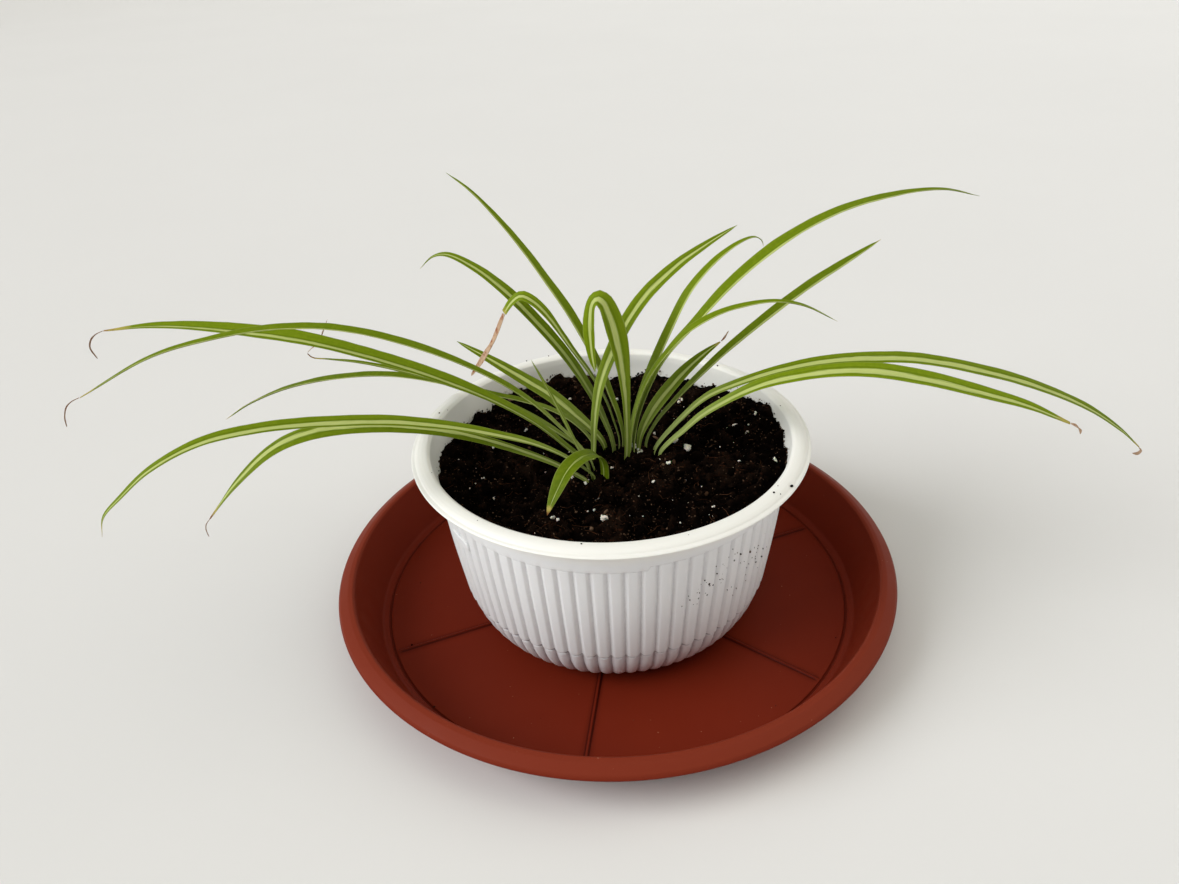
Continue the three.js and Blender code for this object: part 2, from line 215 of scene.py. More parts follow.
def fan_faces(ring, centre, flip=False):
    """Triangles from a ring of corner numbers to a centre corner."""
    beside = np.roll(ring, -1)
    pair = [beside, ring] if flip else [ring, beside]
    return np.stack([*pair, np.full(len(ring), centre)], axis=-1)


def add_piece(name, points, faces, material, replaces=(), values=None):
    """A mesh piece that rides on the part. faces is a list of arrays of corner numbers."""
    mesh = bpy.data.meshes.new(name)
    corners = [face for group in faces for face in group.tolist()]
    mesh.from_pydata((np.asarray(points) * MM).tolist(), [], corners)
    mesh.shade_smooth()
    for key, numbers in (values or {}).items():
        numbers = np.asarray(numbers, np.float32)
        kind, field = ("FLOAT", "value") if numbers.ndim == 1 else ("FLOAT_VECTOR", "vector")
        mesh.attributes.new(key, kind, "POINT").data.foreach_set(field, numbers.ravel())
    mesh.materials.append(material)
    mesh.validate()
    piece = bpy.data.objects.new(name, mesh)
    bpy.context.scene.collection.objects.link(piece)
    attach(piece, BODY)
    if replaces:
        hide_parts(*replaces)
    return piece


def turned_faces(rows, columns):
    """The faces of a turned body whose first and last rows close on centre corners."""
    top = rows * columns
    first, last = np.arange(columns), np.arange(columns) + (rows - 1) * columns
    return [grid_faces(rows, columns), fan_faces(first, top, flip=True), fan_faces(last, top + 1)]


def pebble(detail):
    """Corners and faces of a ball of triangles."""
    shape = bmesh.new()
    bmesh.ops.create_icosphere(shape, subdivisions=detail, radius=1)
    points = np.array([v.co for v in shape.verts])
    faces = np.array([[v.index for v in f.verts] for f in shape.faces])
    shape.free()
    return points, faces


def random_turns(rng, count):
    """Random rotation matrices, from unit quaternions."""
    q = rng.normal(size=(count, 4))
    w, x, y, z = (q / np.linalg.norm(q, axis=1, keepdims=True)).T
    rows = [
        [1 - 2 * (y * y + z * z), 2 * (x * y - z * w), 2 * (x * z + y * w)],
        [2 * (x * y + z * w), 1 - 2 * (x * x + z * z), 2 * (y * z - x * w)],
        [2 * (x * z - y * w), 2 * (y * z + x * w), 1 - 2 * (x * x + y * y)],
    ]
    return np.moveaxis(np.array(rows), 2, 0)


def scattered(rng, places, sizes, detail, rough, squash=(0.75, 1)):
    """Many uneven grains in one mesh: corners, faces and a shade for each corner, a random tone for
    each grain with painted shade underneath.
    """
    ball, faces = pebble(detail)
    count = len(places)
    elsewhere = rng.uniform(-400, 400, (count, 1, 3))
    lumps = noise((ball[None] + elsewhere).reshape(-1, 3), 0.85, 5).reshape(count, -1, 1)
    grit = rng.uniform(-0.35, 0.35, (count, len(ball), 1))
    stretch = rng.uniform(*squash, (count, 1, 3)) * np.asarray(sizes).reshape(-1, 1, 1) / 2
    grains = ball[None] * (1 + rough * (lumps + grit)) * stretch
    grains = np.einsum("nij,nkj->nki", random_turns(rng, count), grains)
    points = (grains + np.asarray(places)[:, None, :]).reshape(-1, 3)
    shift = (np.arange(count) * len(ball))[:, None, None]
    # each grain has its own random tone, and is painted darker underneath, as painted shade
    height = grains[..., 2] / np.asarray(sizes).reshape(-1, 1)
    shade = rng.uniform(0, 1, (count, 1)) * np.clip(0.75 + height, 0.15, 1)
    return points, (faces[None] + shift).reshape(-1, 3), shade.ravel()


# ------------------------------------------------------------------ material nodes
def new_material(name):
    material = bpy.data.materials.new(name)
    material.use_nodes = True
    material.node_tree.nodes.clear()
    return material, material.node_tree


def add(tree, kind, inputs=None, **settings):
    """A node, with each input either set to a value or linked to another node's output."""
    node = tree.nodes.new("ShaderNode" + kind)
    for key, value in settings.items():
        setattr(node, key, value)
    for key, value in (inputs or {}).items():
        if isinstance(value, bpy.types.NodeSocket):
            tree.links.new(value, node.inputs[key])
        else:
            node.inputs[key].default_value = value
    return node


def compute(tree, operation, *values):
    return add(tree, "Math", dict(enumerate(values)), operation=operation).outputs[0]


def times(tree, first, second):
    return compute(tree, "MULTIPLY", first, second)


def plus(tree, first, second):
    return compute(tree, "ADD", first, second)


def off_centre(tree, value, centre):
    return compute(tree, "SUBTRACT", value, centre)


def size_of(tree, value):
    return compute(tree, "ABSOLUTE", value)


def between(tree, value, low, high, to_low=0.0, to_high=1.0):
    """The value's place between low and high, eased, as a number from to_low to to_high."""
    inputs = {0: value, 1: low, 2: high, 3: to_low, 4: to_high}
    return add(tree, "MapRange", inputs, interpolation_type="SMOOTHSTEP").outputs[0]


def blend_colours(tree, share, first, second, blend_type="MIX"):
    first, second = (c if isinstance(c, bpy.types.NodeSocket) else (*c, 1) for c in (first, second))
    inputs = {0: share, 6: first, 7: second}
    return add(tree, "Mix", inputs, data_type="RGBA", blend_type=blend_type).outputs[2]


def number_at(tree, name):
    """The number that the mesh keeps under this name at each point."""
    return add(tree, "Attribute", attribute_name=name).outputs["Fac"]


def triple_at(tree, name):
    """The three numbers that the mesh keeps under this name at each point."""
    vector = add(tree, "Attribute", attribute_name=name).outputs["Vector"]
    return add(tree, "SeparateXYZ", {0: vector}).outputs


def joined(tree, *three):
    return add(tree, "CombineXYZ", dict(enumerate(three))).outputs[0]


def object_places(tree):
    return add(tree, "TexCoord").outputs["Object"]


def cloud(tree, where, per_metre, detail=3.0, roughness=0.55):
    """Noise from 0 to 1 with this many lumps a metre."""
    inputs = {"Vector": where, "Scale": per_metre, "Detail": detail, "Roughness": roughness}
    return add(tree, "TexNoise", inputs).outputs["Fac"]


def bumped(tree, height, strength, distance, normal=None):
    inputs = {"Height": height, "Strength": strength, "Distance": distance}
    if normal is not None:
        inputs["Normal"] = normal
    return add(tree, "Bump", inputs).outputs["Normal"]


def principled(tree, colour, roughness, normal, others=None):
    inputs = {"Base Color": colour, "Roughness": roughness, "Normal": normal, **(others or {})}
    return add(tree, "BsdfPrincipled", inputs).outputs[0]


def finish_material(material, tree, shader):
    add(tree, "OutputMaterial", {"Surface": shader})
    return material


# ------------------------------------------------------------------ materials
def pot_plastic():
    """White moulded plastic, painted warmer on the rim and inside as painted warm light, with
    painted shade and grime in its grooves and lines, and soil by the peat.
    """
    material, tree = new_material("pot_plastic")
    where = object_places(tree)
    shade_and_grime = number_at(tree, "shade_and_grime")
    broad = cloud(tree, where, 25, 2)
    rubs = cloud(tree, where, 420, 5, 0.7)
    clean = blend_colours(tree, broad, (0.840, 0.843, 0.845), (0.870, 0.873, 0.875))
    # painted warm light: the rim and the inside are painted warmer and lighter, for warm light from
    # above
    clean = blend_colours(tree, number_at(tree, "rim"), clean, (0.885, 0.872, 0.820))
    # painted shade and grime: darker in the grooves, along the step line and the band's lower edge,
    # and under the foot
    shade_and_dirt = times(tree, shade_and_grime, between(tree, rubs, 0.3, 0.75, 0.45, 1.0))
    colour = blend_colours(tree, shade_and_dirt, clean, (0.31, 0.27, 0.31))
    # painted shadow: the darkest colour, along the cut of the step line
    deep_painted_shade = between(tree, shade_and_grime, 0.75, 1.0, 0.0, 0.75)
    colour = blend_colours(tree, deep_painted_shade, colour, (0.13, 0.11, 0.12))
    stain = between(tree, rubs, 0.50, 0.66, 0.0, 0.7)
    stain = times(tree, number_at(tree, "soiled"), stain)
    colour = blend_colours(tree, stain, colour, (0.20, 0.14, 0.085))
    roughness = between(tree, rubs, 0.2, 0.8, 0.36, 0.5)
    normal = bumped(tree, cloud(tree, where, 900, 4), 0.12, 0.0002)
    normal = bumped(tree, broad, 0.25, 0.0012, normal)
    depth = {
        "Subsurface Weight": 0.12,
        "Subsurface Radius": (1.0, 0.9, 0.8),
        "Subsurface Scale": 0.003,
    }
    return finish_material(material, tree, principled(tree, colour, roughness, normal, depth))


def saucer_plastic():
    """Brick-red moulded plastic with a painted highlight on the rim's top, painted shade in the
    ring groove and beside the ribs, dust, pale specks and dull patches.
    """
    material, tree = new_material("saucer_plastic")
    where = object_places(tree)
    broad = cloud(tree, where, 18, 3)
    colour = blend_colours(tree, broad, (0.140, 0.0138, 0.0050), (0.166, 0.0190, 0.0072))
    # painted highlight: the top of the rim is painted lighter
    colour = blend_colours(tree, number_at(tree, "edge"), colour, (0.190, 0.028, 0.0125))
    # painted shade in the ring groove and beside the ribs
    colour = blend_colours(tree, number_at(tree, "shade_and_grime"), colour, (0.030, 0.0016, 0.0008))
    dust = between(tree, cloud(tree, where, 700, 6, 0.75), 0.60, 0.80)
    colour = blend_colours(tree, times(tree, dust, 0.15), colour, (0.30, 0.08, 0.045))
    specks = between(tree, cloud(tree, where, 620, 2, 0.5), 0.775, 0.80)
    colour = blend_colours(tree, times(tree, specks, 0.6), colour, (0.42, 0.20, 0.13))
    roughness = between(tree, cloud(tree, where, 60, 4), 0.3, 0.7, 0.38, 0.50)
    normal = bumped(tree, cloud(tree, where, 1100, 3), 0.10, 0.0002)
    normal = bumped(tree, broad, 0.2, 0.001, normal)
    shader = principled(tree, colour, roughness, normal, {"Specular IOR Level": 0.05})
    return finish_material(material, tree, shader)


def peat(name, dark, light, rusty):
    """Damp peat: dark, rough, with brown and red-brown bits."""
    material, tree = new_material(name)
    where = object_places(tree)
    shade = number_at(tree, "shade")
    lumps = cloud(tree, where, 260, 5, 0.65)
    # the mesh's shade carries a random tone with painted shade: darker in the soil's pits and under
    # each grain
    tone = plus(tree, times(tree, lumps, 0.45), times(tree, shade, 0.55))
    colour = blend_colours(tree, between(tree, tone, 0.36, 0.80), dark, light)
    bits = between(tree, cloud(tree, where, 820, 3, 0.6), 0.57, 0.66)
    rust = times(tree, bits, between(tree, shade, 0.45, 0.95, 0.0, 0.9))
    colour = blend_colours(tree, rust, colour, rusty)
    normal = bumped(tree, cloud(tree, where, 1300, 6, 0.75), 1.0, 0.0012)
    shader = principled(tree, colour, 0.95, normal, {"Specular IOR Level": 0.02})
    return finish_material(material, tree, shader)


def perlite_grain():
    """White expanded grains, pitted and a little soiled."""
    material, tree = new_material("perlite")
    where = object_places(tree)
    pits = cloud(tree, where, 1300, 4, 0.65)
    clean = between(tree, pits, 0.30, 0.46)
    colour = blend_colours(tree, clean, (0.36, 0.27, 0.19), (0.86, 0.80, 0.69))
    normal = bumped(tree, pits, 0.7, 0.0006)
    depth = {"Subsurface Weight": 0.2, "Subsurface Scale": 0.001}
    return finish_material(material, tree, principled(tree, colour, 0.75, normal, depth))


def leaf_tissue():
    """A striped leaf. Reads where each point lies on its blade:
    blade = (across from -1 to 1, millimetres from the base, half width in millimetres),
    stripe = (centre, half width, how dead), tone = (the leaf's own number, how dark, how pale)."""
    material, tree = new_material("leaf_tissue")
    across, along, half = triple_at(tree, "blade")
    centre, cream_half, dead = triple_at(tree, "stripe")
    number, dark, pale = triple_at(tree, "tone")

    sideways = times(tree, across, half)
    shifted = plus(tree, sideways, times(tree, number, 50.0))
    drawn = times(tree, along, 0.035)
    lines = joined(tree, shifted, drawn, number)
    streaks = cloud(tree, lines, 1.7, 3, 0.6)
    veins = cloud(tree, lines, 4.2, 2, 0.5)
    spots = cloud(tree, joined(tree, shifted, along, number), 0.45, 4, 0.6)

    green = blend_colours(tree, streaks, (0.165, 0.255, 0.0035), (0.270, 0.370, 0.0080))
    green = blend_colours(tree, times(tree, dark, 0.85), green, (0.080, 0.130, 0.0040))
    light_spots = between(tree, spots, 0.35, 0.75, 0.0, 0.25)
    green = blend_colours(tree, light_spots, green, (0.33, 0.40, 0.02))
    # distance: how far a point lies outside the cream stripe
    distance = off_centre(tree, size_of(tree, off_centre(tree, across, centre)), cream_half)
    ragged = times(tree, off_centre(tree, streaks, 0.5), 0.55)
    cream_share = between(tree, plus(tree, distance, ragged), 0.09, -0.09)
    cream = blend_colours(tree, veins, (0.47, 0.56, 0.12), (0.72, 0.77, 0.33))
    from_seam = size_of(tree, off_centre(tree, distance, 0.16))
    beside = between(tree, from_seam, 0.16, 0.02)
    green = blend_colours(tree, times(tree, beside, 0.38), green, (0.070, 0.125, 0.0030))
    colour = blend_colours(tree, cream_share, green, cream)
    margin = between(tree, size_of(tree, across), 0.86, 0.98)
    colour = blend_colours(tree, times(tree, margin, 0.45), colour, (0.40, 0.46, 0.12))
    base_share = times(tree, between(tree, along, 4.0, 75.0, 1.0, 0.0), pale)
    base = blend_colours(tree, streaks, (0.245, 0.320, 0.060), (0.50, 0.58, 0.230))
    colour = blend_colours(tree, base_share, colour, base)

    ragged_end = times(tree, off_centre(tree, spots, 0.5), 0.5)
    ragged_end = times(tree, ragged_end, between(tree, dead, 0.0, 0.2))
    age = plus(tree, dead, ragged_end)
    colour = blend_colours(tree, between(tree, age, 0.10, 0.45), colour, (0.52, 0.44, 0.10))
    colour = blend_colours(tree, between(tree, age, 0.45, 0.80), colour, (0.30, 0.13, 0.045))

    ridges = plus(tree, veins, times(tree, streaks, 0.6))
    normal = bumped(tree, ridges, 0.55, 0.00012)
    normal = bumped(tree, spots, 0.25, 0.0004, normal)
    roughness = between(tree, spots, 0.3, 0.7, 0.36, 0.50)
    front = principled(tree, colour, roughness, normal, {"Specular IOR Level": 0.08})
    glow = blend_colours(tree, 1.0, colour, (1.0, 1.0, 0.5), "MULTIPLY")
    through = add(tree, "BsdfTranslucent", {"Color": glow, "Normal": normal}).outputs[0]
    mixed = add(tree, "MixShader", {0: 0.24, 1: front, 2: through}).outputs[0]
    return finish_material(material, tree, mixed)


def dry_tissue():
    """A dead leaf end: tan, with red-brown blotches and drawn lines."""
    material, tree = new_material("dry_tissue")
    across, along, half = triple_at(tree, "blade")
    number, dark, _ = triple_at(tree, "tone")
    sideways = times(tree, across, half)
    drawn = times(tree, along, 0.12)
    lines = joined(tree, sideways, drawn, number)
    streaks = cloud(tree, lines, 2.4, 4, 0.65)
    blotches = cloud(tree, joined(tree, sideways, along, number), 0.35, 3)
    colour = blend_colours(tree, streaks, (0.44, 0.22, 0.10), (0.85, 0.66, 0.48))
    colour = blend_colours(tree, between(tree, blotches, 0.50, 0.72), colour, (0.36, 0.11, 0.04))
    colour = blend_colours(tree, dark, colour, (0.075, 0.032, 0.018))
    normal = bumped(tree, streaks, 0.8, 0.0003)
    front = principled(tree, colour, 0.72, normal, {"Specular IOR Level": 0.2})
    through = add(tree, "BsdfTranslucent", {"Color": colour, "Normal": normal}).outputs[0]
    mixed = add(tree, "MixShader", {0: 0.2, 1: front, 2: through}).outputs[0]
    return finish_material(material, tree, mixed)


def floor_paint():
    """Pale matt paint with a faint cloud in it."""
    material, tree = new_material("floor_paint")
    where = object_places(tree)
    broad = cloud(tree, where, 3, 4)
    colour = blend_colours(tree, broad, (0.745, 0.735, 0.720), (0.775, 0.765, 0.750))
    normal = bumped(tree, cloud(tree, where, 350, 3), 0.05, 0.0005)
    shader = principled(tree, colour, 0.9, normal, {"Specular IOR Level": 0.2})
    return finish_material(material, tree, shader)


POT_PLASTIC = pot_plastic()
SAUCER_PLASTIC = saucer_plastic()
PEAT = peat("peat", (0.0015, 0.0006, 0.0003), (0.0115, 0.0062, 0.0038), (0.042, 0.012, 0.005))
CLOD = peat("clod", (0.0014, 0.0006, 0.0003), (0.0105, 0.0055, 0.0033), (0.040, 0.012, 0.005))
CRUMB = peat("crumb", (0.0016, 0.0007, 0.0004), (0.1450, 0.0880, 0.0560), (0.200, 0.070, 0.028))
FIBRE = peat("fibre", (0.014, 0.006, 0.003), (0.085, 0.038, 0.020), (0.15, 0.048, 0.018))
CHIP = peat("bark_chip", (0.06, 0.032, 0.018), (0.30, 0.19, 0.12), (0.24, 0.10, 0.045))
PERLITE = perlite_grain()
LEAF = leaf_tissue()
DRY = dry_tissue()


# ------------------------------------------------------------------ camera, light and floor
def make_camera():
    yaw, pitch, roll = (math.radians(a) for a in (CAMERA_YAW, CAMERA_PITCH, CAMERA_ROLL))
    flat = math.cos(pitch)
    ahead = Vector((math.sin(yaw) * flat, math.cos(yaw) * flat, -math.sin(pitch)))
    level = Vector((math.cos(yaw), -math.sin(yaw), 0))
    above = level.cross(ahead)
    right = level * math.cos(roll) + above * math.sin(roll)
    up = above * math.cos(roll) - level * math.sin(roll)
    camera = bpy.data.objects.new("camera", bpy.data.cameras.new("camera"))
    camera.matrix_world = Matrix((right, up, -ahead)).transposed().to_4x4()
    camera.location = Vector(CAMERA_PLACE) * MM
    camera.data.lens = camera.data.sensor_width * CAMERA_FOCAL / PICTURE_WIDTH
    camera.data.clip_start = 0.01
    bpy.context.scene.collection.objects.link(camera)
    bpy.context.scene.camera = camera


def add_light(name, azimuth, elevation, width, power, colour):
    """A far soft light, seen from the plant at these angles and this many degrees wide."""
    light = bpy.data.lights.new(name, "SUN")
    light.angle = math.radians(width)
    light.energy = power
    light.color = colour
    lamp = bpy.data.objects.new(name, light)
    azimuth, elevation = math.radians(azimuth), math.radians(elevation)
    flat = math.cos(elevation)
    toward = Vector((flat * math.cos(azimuth), flat * math.sin(azimuth), math.sin(elevation)))
    lamp.location = toward * 2
    lamp.rotation_euler = toward.to_track_quat("Z", "Y").to_euler()
    bpy.context.scene.collection.objects.link(lamp)


def make_floor():
    """A flat floor that turns up softly into a low round backdrop, metres away."""
    share = np.linspace(0, 1, 12)
    radii = np.concatenate([[0.8, 2.0, 3.0], BACKDROP_START + BACKDROP_DEPTH * share])
    heights = np.concatenate([[0, 0, 0], BACKDROP_HEIGHT * share**2])
    turn = np.linspace(0, 2 * np.pi, FLOOR_SIDES, endpoint=False)
    rows = [circle_row(r, turn, h) for r, h in zip(radii, heights)]
    points = np.vstack([*rows, [[0, 0, 0]]])
    faces = grid_faces(len(rows), FLOOR_SIDES)[:, ::-1].tolist()
    faces += fan_faces(np.arange(FLOOR_SIDES), len(points) - 1).tolist()
    mesh = bpy.data.meshes.new("floor")
    mesh.from_pydata(points.tolist(), [], faces)
    mesh.shade_smooth()
    mesh.materials.append(floor_paint())
    floor = bpy.data.objects.new("floor", mesh)
    bpy.context.scene.collection.objects.link(floor)


def make_stage():
    world = bpy.data.worlds.new("world")
    world.use_nodes = True
    background = world.node_tree.nodes["Background"]
    background.inputs["Color"].default_value = (0.94, 0.96, 1.0, 1)
    background.inputs["Strength"].default_value = 0.27
    bpy.context.scene.world = world
    add_light("window", 197, 27, 46, 3.2, (0.965, 0.985, 1.0))
    add_light("ceiling", 250, 76, 60, 0.62, (1.0, 0.96, 0.82))
    add_light("doorway", 8, 48, 50, 0.60, (1.0, 0.96, 0.84))
    add_light("room", 236, 18, 40, 0.14, (0.97, 0.98, 1.0))
    make_floor()
    bpy.context.scene.view_settings.view_transform = "Standard"


# ------------------------------------------------------------------ saucer
def saucer_outline():
    """(radius, height, rounding) from the floor's middle, over the rim, to the underside."""
    return rounded([
        (SAUCER_FLOOR_START, SAUCER_FLOOR, 0),
        (126.2, SAUCER_FLOOR, 0.2),
        (126.6, 1.7, 0.15),
        (127.4, 1.7, 0.15),
        (127.9, 2.5, 0.2),
        (131.0, 3.2, 3.2),
        (141.3, 26.2, 1.2),
        (142.0, 28.2, 1.0),
        (143.2, 28.9, 0.8),
        (145.6, 28.4, 2.0),
        (150.2, 25.6, 1.8),
        (151.4, 23.5, 0.9),
        (150.2, 22.3, 0.5),
        (147.0, 22.8, 0.5),
        (143.3, 22.0, 0.8),
        (134.0, 1.6, 1.5),
        (132.2, 0, 0.8),
        (120, 0, 0),
        (60, 0, 0),
        (20, 0, 0),
    ], 10)


def make_saucer():
    first = [SAUCER_FLOOR_START, 15.5, 17, 20]
    floor_radii = np.concatenate([first, np.arange(26, 123, 6), [123.5, 124.7]])
    floor_rows = np.stack([floor_radii, np.full(len(floor_radii), SAUCER_FLOOR)], axis=1)
    outline = np.vstack([floor_rows, saucer_outline()[1:]])
    beside_rib = np.array([-1.6, -1.2, -0.85, -0.6, -0.25, 0.25, 0.6, 0.85, 1.2, 1.6])
    sector = math.radians(360 / SAUCER_RIBS)
    radius = outline[:, :1]
    edge = np.arcsin(beside_rib[-1] / radius)
    between_ribs = np.linspace(0, 1, 52)[None, 1:-1]
    angles = []
    for rib in range(SAUCER_RIBS):
        middle = math.radians(SAUCER_RIB_START) + rib * sector
        angles.append(middle + np.arcsin(beside_rib[None] / radius))
        angles.append(middle + edge + between_ribs * (sector - 2 * edge))
    angles = np.hstack(angles)
    far_off = np.full(between_ribs.shape[1], 9.0)
    across = np.tile(np.concatenate([beside_rib, far_off]), SAUCER_RIBS)
    crown = np.clip(1 - (across / SAUCER_RIB_HALF) ** 2, 0, 1) ** 0.5
    reach = smoothstep(SAUCER_FLOOR_START, 17, outline[:, 0])
    reach = reach * smoothstep(125.4, 124.2, outline[:, 0])
    on_floor = (np.arange(len(outline)) < len(floor_radii)) * reach
    height = outline[:, 1:] + SAUCER_RIB_RISE * on_floor[:, None] * crown[None]
    points = circle_row(radius, angles, height).reshape(-1, 3)
    # the rim and wall of such thin ware are never quite true
    lift = smoothstep(8, 26, points[:, 2])
    points[:, 2] += SAUCER_WARP * lift * noise(points * [1, 1, 0], 90, 3)
    centres = [[0, 0, SAUCER_FLOOR], [0, 0, 0]]
    # painted highlight: the upper part of the rim is painted lighter, the lower part keeps the
    # darker colour
    rim = smoothstep(140.5, 143, outline[:, 0]) * smoothstep(22.8, 26.0, outline[:, 1])
    painted_light_value = np.append(np.repeat(rim, angles.shape[1]), [0, 0])
    # painted shade: the ring groove and the feet of the ribs are painted darker
    ring = smoothstep(2.3, 1.8, outline[:, 1]) * (np.abs(outline[:, 0] - RING_GROOVE) < 0.7)
    beside = np.clip(1.5 - 1.5 * np.abs(np.abs(across) - 1.0) / 0.8, 0, 1)
    shade_and_grime = np.maximum(0.4 * ring[:, None], 0.75 * on_floor[:, None] * beside[None])
    shade_and_grime_value = np.append(shade_and_grime.ravel(), [0, 0])
    rows, columns = angles.shape
    points = np.vstack([points, centres]) + SAUCER_CENTRE
    add_piece(
        "saucer_shell", points, turned_faces(rows, columns), SAUCER_PLASTIC,
        replaces=["saucer"], values={"edge": painted_light_value, "shade_and_grime": shade_and_grime_value},
    )


# ------------------------------------------------------------------ pot
def pot_rows():
    """(radius, height) rows of the pot from the foot, over the rim, to the inner floor."""
    wall = curve_through([
        (65.8, 4.3), (69.6, 6.6), (73.3, 10.2), (77.2, 16), (79.8, 22), (81.6, 29.5), (83.2, 40),
        (86, 60), (88.2, 80), (89.0, 88.0), (89.3, 92),
    ])
    wall, _, _ = walk(wall, 46)
    # the rim is one broad soft round that ends in a fine ledge at its outer edge
    rim = rounded([
        (90.0, 97.0, 0),
        (90.3, 103.2, 1.8),
        (98.6, 103.5, 0.4),
        (99.7, 103.5, 0.3),
        (100.0, 104.1, 0.35),
        (99.4, 104.7, 0.4),
        (98.1, 105.0, 0.3),
        (97.6, 105.7, 0.7),
        (96.4, 106.5, 1.5),
        (94.6, 107.0, 2.5),
        (92.2, 107.1, 1.6),
        (90.5, 105.8, 1.2),
        (89.85, 102.5, 1.5),
        (89.4, 100.0, 0),
    ], 17)
    inner = [
        (89.1, 98.0), (88.75, 96.0), (88.4, 94.0), (88.1, 92.0), (87.7, 90.0), (86.2, 84.0),
        (80.8, 42), (75, 18), (63, POT_INNER_FLOOR), (20, POT_INNER_FLOOR),
    ]
    foot = [(20, POT_FOOT), (61.5, POT_FOOT), (64.2, POT_FOOT + 0.25)]
    return np.array(foot), wall, rim, np.array(inner)


def make_pot():
    foot, wall, rim, inner = pot_rows()
    half = np.array([0, 0.035, 0.10, 0.165, 0.22, 0.265, 0.37])
    phases = np.concatenate([half, [0.5], 1 - half[:0:-1]])
    columns = FLUTES * len(phases)
    phase = np.tile(phases, FLUTES)
    angle = FIRST_GROOVE + FLUTE_PITCH * (np.arange(FLUTES).repeat(len(phases)) + phase)
    turn = np.radians(angle)
    from_groove = np.minimum(phase, 1 - phase)

    # the band's lower edge steps up where the mould halves meet
    past_split = (angle - BAND_SPLIT) % 360
    on_high = smoothstep(0, 0.6, past_split) * smoothstep(180, 179.4, past_split)
    band_edge = BAND_LOW + (BAND_HIGH - BAND_LOW) * on_high
    step_edge = STEP_LINE - STEP_WAVE * np.sin(np.pi * phase)

    # per row: how much painted shade and grime, how much peat, and 1 on the rim and inside for the
    # painted warm light.
    rows, shade_and_grime, soiled, warm_light_share = [], [], [], []
    nothing = np.zeros(columns)

    def wall_row(height, ribbed, banded):
        """One row of the wall. ribbed: 1 under the step line. banded: 1 on the smooth band."""
        radius = np.interp(height, wall[:, 1], wall[:, 0])
        arc = from_groove * np.radians(FLUTE_PITCH) * radius
        groove = np.clip(1 - arc / GROOVE_HALF, 0, 1)
        groove = groove * (0.75 + 0.75 * groove - 0.5 * groove**2)
        land = LAND_CROWN * (np.sin(np.pi * phase) - 1)
        foot_fade = smoothstep(POT_FOOT + 0.3, POT_FOOT + 4.5, height)
        fluted = -GROOVE_DEPTH * groove + land
        rib = -STEP_INSET - RIB_DEPTH * (1 - np.sin(np.pi * phase) ** 0.7)
        line = np.clip(1.8 - 1.8 * np.abs(height - step_edge + 0.15) / STEP_CUT_HALF, 0, 1)
        shift = (fluted * (1 - ribbed) + rib * ribbed * foot_fade - STEP_CUT * line) * (1 - banded)
        under_band = np.clip(1 - np.abs(height - band_edge + 0.3) / 0.35, 0, 1) * (1 - banded)
        band = BAND_PROUD * banded * (1 + 0.4 * on_high)
        radius = radius + shift + band - BAND_CUT * under_band
        rows.append(circle_row(radius, turn, height))
        # painted shade and grime: darker in the grooves, more on the ribs, a little over the whole
        # ribbed wall; the step line and the band's lower edge are painted dark as painted shadow
        # lines
        shade_and_dirt = (0.03 + groove * (0.20 + 0.36 * ribbed)) * (1 - banded)
        shade_and_dirt = shade_and_dirt + 0.07 * ribbed * foot_fade
        shade_and_grime.append(np.maximum.reduce([shade_and_dirt, line, 0.6 * under_band]))
        soiled.append(nothing)
        warm_light_share.append(nothing)

    for radius, height in foot:
        rows.append(circle_row(radius, turn, height))
        # painted shade and grime: the foot is painted half dark
        shade_and_grime.append(nothing + 0.5)
        soiled.append(nothing)
        warm_light_share.append(nothing)
    low = np.concatenate([np.linspace(wall[0, 1], 11, 8), np.linspace(13, STEP_LINE - 2.4, 5)])
    for height in low:
        wall_row(nothing + height, 1, 0)
    for above in (-1.5, -0.95, -0.7, -0.5, -0.15, 0.05, 0.25, 0.65, 1.3):
        wall_row(step_edge + above, int(above < 0), 0)
    for height in np.linspace(STEP_LINE + 2.4, BAND_LOW - 1.2, 8):
        wall_row(nothing + height, 0, 0)
    for above, banded in ((-0.7, 0), (-0.45, 0), (-0.3, 0), (-0.1, 0), (0.0, 0.9), (0.25, 1)):
        wall_row(band_edge + above, 0, banded)
    wall_row(nothing + BAND_HIGH + 1.4, 0, 1)
    soil_line = soil_height(85 * np.cos(turn), 85 * np.sin(turn))
    for radius, height in np.vstack([rim, inner]):
        wobble = RIM_WOBBLE * noise(circle_row(100, turn, height * 0.3), 55, 7)
        oval = RIM_OVAL * np.cos(2 * turn) * smoothstep(97, 103, height)
        wide = radius + oval + (wobble if height > 93 else 0)
        rows.append(circle_row(wide, turn, height + 0.6 * wobble))
        shade_and_grime.append(nothing)
        # the rim and the inside get the painted warm light
        warm_light_share.append(nothing + 1)
        near_soil = 0.8 * smoothstep(3.2, 0.3, height - soil_line)
        soiled.append(near_soil if radius < 90.0 and height < 101 else nothing)
    points = np.vstack([*rows, [[0, 0, POT_FOOT], [0, 0, POT_INNER_FLOOR]]])
    values = {
        "shade_and_grime": np.append(np.concatenate(shade_and_grime), [0, 0]),
        "soiled": np.append(np.concatenate(soiled), [0, 0]),
        "rim": np.append(np.concatenate(warm_light_share), [0, 1]),
    }
    add_piece(
        "pot_shell", points, turned_faces(len(rows), columns), POT_PLASTIC,
        replaces=["pot"], values=values,
    )


def pot_wall_radius(height):
    """Radius of the pot's flutes at a height."""
    wall = pot_rows()[1]
    return np.interp(height, wall[:, 1], wall[:, 0])


